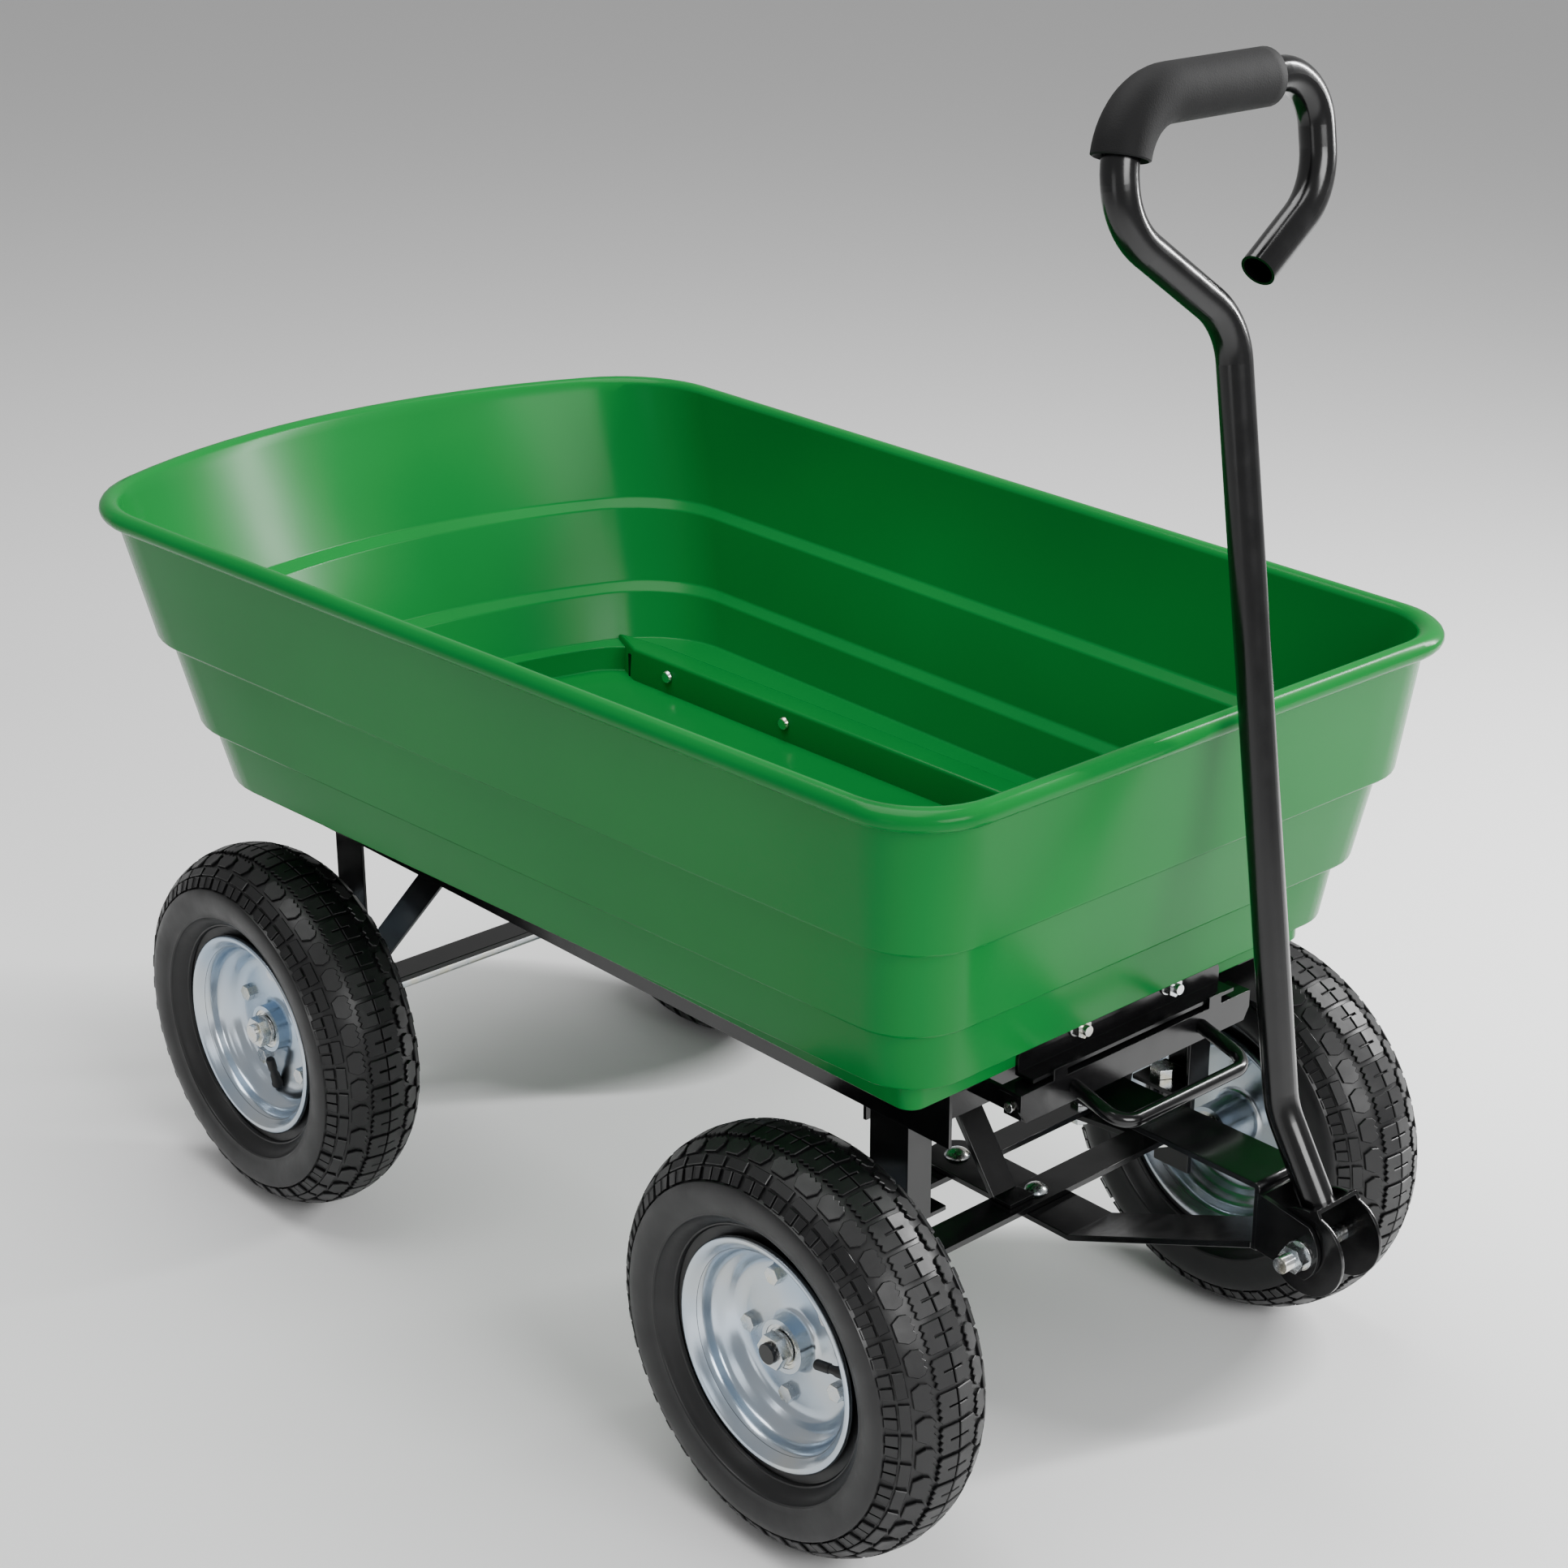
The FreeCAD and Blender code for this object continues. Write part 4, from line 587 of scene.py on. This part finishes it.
loop = [(r, a, 0.0) for r, a in right + left]
turn_section(bm, loop + [loop[0]], (0, 0, 0), (0, 1, 0), 120)
bmesh.ops.scale(bm, vec=(MM, MM, MM), verts=bm.verts)
bmesh.ops.remove_doubles(bm, verts=bm.verts, dist=0.005 * MM)
bmesh.ops.recalc_face_normals(bm, faces=bm.faces)
tyre_mesh = bpy.data.meshes.new("tyre_pattern")
bm.to_mesh(tyre_mesh)
bm.free()
print("tyre pattern:", len(tyre_mesh.polygons), "faces")

# %% Four tyres
PHASE = {"front_left": 2.0, "front_right": 0.0, "rear_left": 4.0, "rear_right": 3.0}
for place in PLACES:
    bm = bmesh.new()
    bm.from_mesh(tyre_mesh)
    bmesh.ops.rotate(bm, verts=bm.verts, cent=(0, 0, 0),
                     matrix=Matrix.Rotation(math.radians(PHASE[place]), 3, "Y"))
    bmesh.ops.translate(bm, vec=WHEEL[place], verts=bm.verts)
    finish_piece("treaded_tyre_" + place, bm, "wheel_" + place, tyre_rubber, ["tyre_" + place],
                 32.0)
bpy.data.meshes.remove(tyre_mesh)
print("tyres: 4")

# %% [markdown]
# A rim is two pressed steel dishes bolted back to back, with a hub tube welded through. Its
# section is drawn once, from the rolled outer edge over the bead seat into the drop centre and
# along the flat disc to the hub, and spun round the axle. The bearing is turned the same way:
# an outer ring, a sunk shield and an inner ring.

# %% Rims and bearings
RIM_SIDE = [(91.0, 33.0), (91.4, 35.6), (90.2, 37.0), (88.0, 37.2), (85.6, 36.0), (83.0, 33.0),
            (80.4, 30.6), (78.2, 28.6), (77.2, 25.0), (76.6, 21.0), (75.4, 17.8), (72.6, 15.6),
            (69.4, 13.6), (66.8, 10.8), (65.0, 7.2), (62.6, 4.6), (58.6, 3.0), (54.0, 2.6),
            (40.0, 2.6), (27.0, 2.6), (23.0, 3.4), (21.4, 5.6), (21.0, 8.0)]
RIM_BACK = [(62.0, 0.0), (66.6, 3.0), (69.8, 7.6), (71.6, 11.0), (75.0, 13.4), (78.6, 16.4),
            (79.6, 21.0), (80.2, 26.0), (83.4, 28.6), (87.0, 31.8)]
HUB_OUT, HUB_IN = 18.0, 42.0
BEARING_SECTION = [(17.2, 9.0), (17.2, 10.0), (14.6, 10.0), (14.2, 9.2), (11.2, 9.2), (10.8, 10.2),
                   (8.2, 10.2), (8.2, 1.0), (17.2, 1.0), (17.2, 9.0)]


def wheel_points(points, side):
    return [(r, side * a, 0.0) for r, a in points]


for place in PLACES:
    side = 1 if place.endswith("left") else -1
    bm = bmesh.new()
    outer_edge = RIM_SIDE + [(21.0, HUB_OUT), (17.4, HUB_OUT), (17.4, 6.0)]
    inner_edge = [(17.4, -HUB_IN + 12.0), (17.4, -HUB_IN), (21.0, -HUB_IN)] + \
        [(r, -a) for r, a in reversed(RIM_SIDE)]
    back_face = [(r, -a) for r, a in reversed(RIM_BACK)] + RIM_BACK[1:]
    loop = wheel_points(outer_edge + inner_edge + back_face, side)
    turn_section(bm, loop + [loop[0]], (0, 0, 0), (0, 1, 0), 96)
    bmesh.ops.scale(bm, vec=(MM, MM, MM), verts=bm.verts)
    bmesh.ops.translate(bm, vec=WHEEL[place], verts=bm.verts)
    finish_piece("pressed_rim_" + place, bm, "wheel_" + place, rim_zinc, ["rim_" + place], 50.0)
    bm = bmesh.new()
    turn_section(bm, wheel_points([(r, a + HUB_OUT - 10.6) for r, a in BEARING_SECTION], side), (0, 0, 0),
                 (0, 1, 0), 48)
    turn_section(bm, wheel_points([(r, -a - HUB_IN + 10.6) for r, a in BEARING_SECTION], side), (0, 0, 0),
                 (0, 1, 0), 48)
    bmesh.ops.scale(bm, vec=(MM, MM, MM), verts=bm.verts)
    bmesh.ops.translate(bm, vec=WHEEL[place], verts=bm.verts)
    finish_piece("ball_bearings_" + place, bm, "wheel_" + place, bolt_zinc, ["bearings_" + place],
                 30.0)
print("rims and bearings: 4 wheels")

# %% [markdown]
# A valve stem is a rubber plug snapped into the rim, with a slim stem and a cap. It is
# turned about its own axis and then laid along the axis of the node it stands for, which runs
# from the rim's drop centre towards the hub and a little outwards.

# %% Valve stems
STEM = [(0.0, -1.0), (5.2, -1.0), (5.4, 1.0), (4.6, 3.0), (4.2, 11.0), (3.4, 13.5), (3.3, 17.0),
        (4.0, 17.6), (4.1, 28.4), (3.2, 29.8), (0.0, 30.0)]
for place in PLACES:
    side = 1 if place.endswith("left") else -1
    toward = centre("valve_stem_" + place) - WHEEL[place]
    radial = Vector((toward.x, 0.0, toward.z)).normalized()
    lean = math.hypot(9.0, 2.5)
    axis = (radial * -9.0 + Vector((0.0, 2.5 * side, 0.0))) / lean
    bm = bmesh.new()
    turn_section(bm, [(r, 0.0, a) for r, a in STEM], (0, 0, 0), (0, 0, 1), 24)
    bmesh.ops.scale(bm, vec=(MM, MM, MM), verts=bm.verts)
    bmesh.ops.rotate(bm, verts=bm.verts, cent=(0, 0, 0),
                     matrix=Vector((0, 0, 1)).rotation_difference(axis).to_matrix())
    root = WHEEL[place] + radial * 61.2 * MM + Vector((0.0, 6.5 * side * MM, 0.0))
    bmesh.ops.translate(bm, vec=root, verts=bm.verts)
    finish_piece("valve_" + place, bm, "wheel_" + place, black_rubber, ["valve_stem_" + place],
                 40.0)
print("valves: 4")

# %% [markdown]
# The foam grip is a soft sleeve pushed over the loop of the handle. Its open end sits a little
# way round the loop's upper bend. A ring is spun round the rest of the bend and then extruded
# along the bar. Rings at both ends are scaled, which closes the wall back onto the tube.

# %% Foam grip
grip_low, grip_high = (Vector(corner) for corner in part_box("handle_grip"))
TUBE_R, FOAM_R = 12.6, 19.5
LEAN = 0.155
TILT = Matrix.Rotation(-math.atan(LEAN), 3, "Y")
BEND_R = 50.0
BEND_START = 0.2


def ring_of(bm, radius, place, steps=32):
    """A horizontal ring of edges."""
    made_ring = bmesh.ops.create_circle(bm, cap_ends=False, segments=steps, radius=radius)
    bmesh.ops.translate(bm, vec=place, verts=made_ring["verts"])
    return list({e for v in made_ring["verts"] for e in v.link_edges})


def extend(bm, edges, move, scale=1.0):
    """Extrudes a ring by a move and a scale about its own middle, and returns the new ring."""
    new = bmesh.ops.extrude_edge_only(bm, edges=edges)["geom"]
    verts = [g for g in new if isinstance(g, bmesh.types.BMVert)]
    bmesh.ops.translate(bm, vec=move, verts=verts)
    middle_point = sum((v.co for v in verts), Vector()) / len(verts)
    if scale != 1.0:
        bmesh.ops.scale(bm, vec=(scale,) * 3, verts=verts, space=Matrix.Translation(-middle_point))
    return [g for g in new if isinstance(g, bmesh.types.BMEdge)]


HALF_LOOP = 98.0
FAR_BEND_R = 50.0
BAR_STEPS = 12
bar = 2.0 * HALF_LOOP - BEND_R - FAR_BEND_R
sweep = math.pi / 2 * (1.0 - BEND_START)
bm = bmesh.new()
ring = ring_of(bm, TUBE_R, (0.0, 0.0, 6.0))
ring = extend(bm, ring, (0, 0, -6.0), (FOAM_R - 1.5) / TUBE_R)
ring = extend(bm, ring, (0, 0, 0.8), FOAM_R / (FOAM_R - 1.5))
bmesh.ops.translate(bm, vec=(0.0, -HALF_LOOP, -0.8), verts=bm.verts)
bend_centre = (0.0, -HALF_LOOP + BEND_R, 0.0)
bmesh.ops.rotate(bm, verts=bm.verts, cent=bend_centre,
                 matrix=Matrix.Rotation(-math.pi / 2 * BEND_START, 3, "X"))
turned_ring = bmesh.ops.spin(bm, geom=ring + list({v for e in ring for v in e.verts}), cent=bend_centre,
                             axis=(1, 0, 0), angle=-sweep, steps=14, use_merge=False,
                             use_normal_flip=False, use_duplicate=False)["geom_last"]
ring = [g for g in turned_ring if isinstance(g, bmesh.types.BMEdge)]
for _ in range(BAR_STEPS - 1):
    ring = extend(bm, ring, (0, bar / BAR_STEPS, 0))
ring = extend(bm, ring, (0, bar / BAR_STEPS - 0.8, 0))
ring = extend(bm, ring, (0, 0.8, 0), 0.94)
ring = extend(bm, ring, (0, -6.0, 0), TUBE_R / (FOAM_R * 0.94))
bmesh.ops.scale(bm, vec=(MM, MM, MM), verts=bm.verts)
bmesh.ops.rotate(bm, verts=bm.verts, cent=(0, 0, 0), matrix=TILT)
top_z = max(v.co.z for v in bm.verts)
low_x = min(v.co.x for v in bm.verts)
bmesh.ops.translate(bm, vec=(grip_low.x - low_x, 0.0, grip_high.z - top_z), verts=bm.verts)
finish_piece("foam_sleeve", bm, "handle", grip_foam, ["handle_grip"], 60.0)

# %% [markdown]
# The latch's torsion spring is a helix of wire round the pin. A spin that also steps along its
# axis is a screw, so one wire section makes all the turns.

# %% Latch spring
pin = centre("latch_pin")
WIRE, TURNS, STEPS = 0.9, 7, 20
bm = bmesh.new()
section_ring = bmesh.ops.create_circle(bm, cap_ends=False, segments=8, radius=WIRE)
bmesh.ops.translate(bm, vec=(5.4, -TURNS * WIRE, 0.0), verts=section_ring["verts"])
bmesh.ops.spin(bm, geom=bm.verts[:] + bm.edges[:], cent=(0, 0, 0), axis=(0, 1, 0),
               dvec=(0, 2 * WIRE / STEPS, 0), angle=math.tau * TURNS, steps=TURNS * STEPS, use_merge=False,
               use_normal_flip=False, use_duplicate=False)
bmesh.ops.holes_fill(bm, edges=bm.edges, sides=8)
bmesh.ops.scale(bm, vec=(MM, MM, MM), verts=bm.verts)
bmesh.ops.translate(bm, vec=pin, verts=bm.verts)
finish_piece("torsion_spring", bm, "frame", bolt_zinc, ["latch_spring"], 60.0)
print("spring:", TURNS, "turns")

# %% [markdown]
# Four pan-head bolts hold the hinge brackets, with their heads inside the tub. A low cone makes
# the head, and its rim is bevelled round. Their nuts are not drawn.

# %% Tub bolts
low, high = (Vector(corner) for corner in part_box("tub_bolts"))
HEAD_R = 6.0
HEAD_SEAT_Y = 187.2
for x, word in ((low.x + HEAD_R * MM, "rear"), (high.x - HEAD_R * MM, "front")):
    for side, hand in ((1, "left"), (-1, "right")):
        bm = bmesh.new()
        bmesh.ops.create_cone(bm, cap_ends=True, segments=32, radius1=6.2, radius2=5.2, depth=3.2)
        rim_edges = [e for e in bm.edges if all(v.co.z > 1.0 for v in e.verts)]
        bmesh.ops.bevel(bm, geom=rim_edges, offset=1.4, offset_type="OFFSET", affect="EDGES", segments=4,
                        profile=0.5, material=-1)
        bmesh.ops.translate(bm, vec=(0, 0, 1.6), verts=bm.verts)
        bmesh.ops.scale(bm, vec=(MM, MM, MM), verts=bm.verts)
        bmesh.ops.rotate(bm, verts=bm.verts, cent=(0, 0, 0),
                         matrix=Matrix.Rotation(math.radians(90.0 * side), 3, "X"))
        bmesh.ops.translate(bm, vec=(x, side * HEAD_SEAT_Y * MM, (low.z + high.z) / 2), verts=bm.verts)
        stands_for = ["tub_bolts"] if (word, hand) == ("rear", "left") else ()
        finish_piece("pan_head_" + word + "_" + hand, bm, "tub", bolt_zinc, stands_for, 40.0)
print("pan heads: 4")
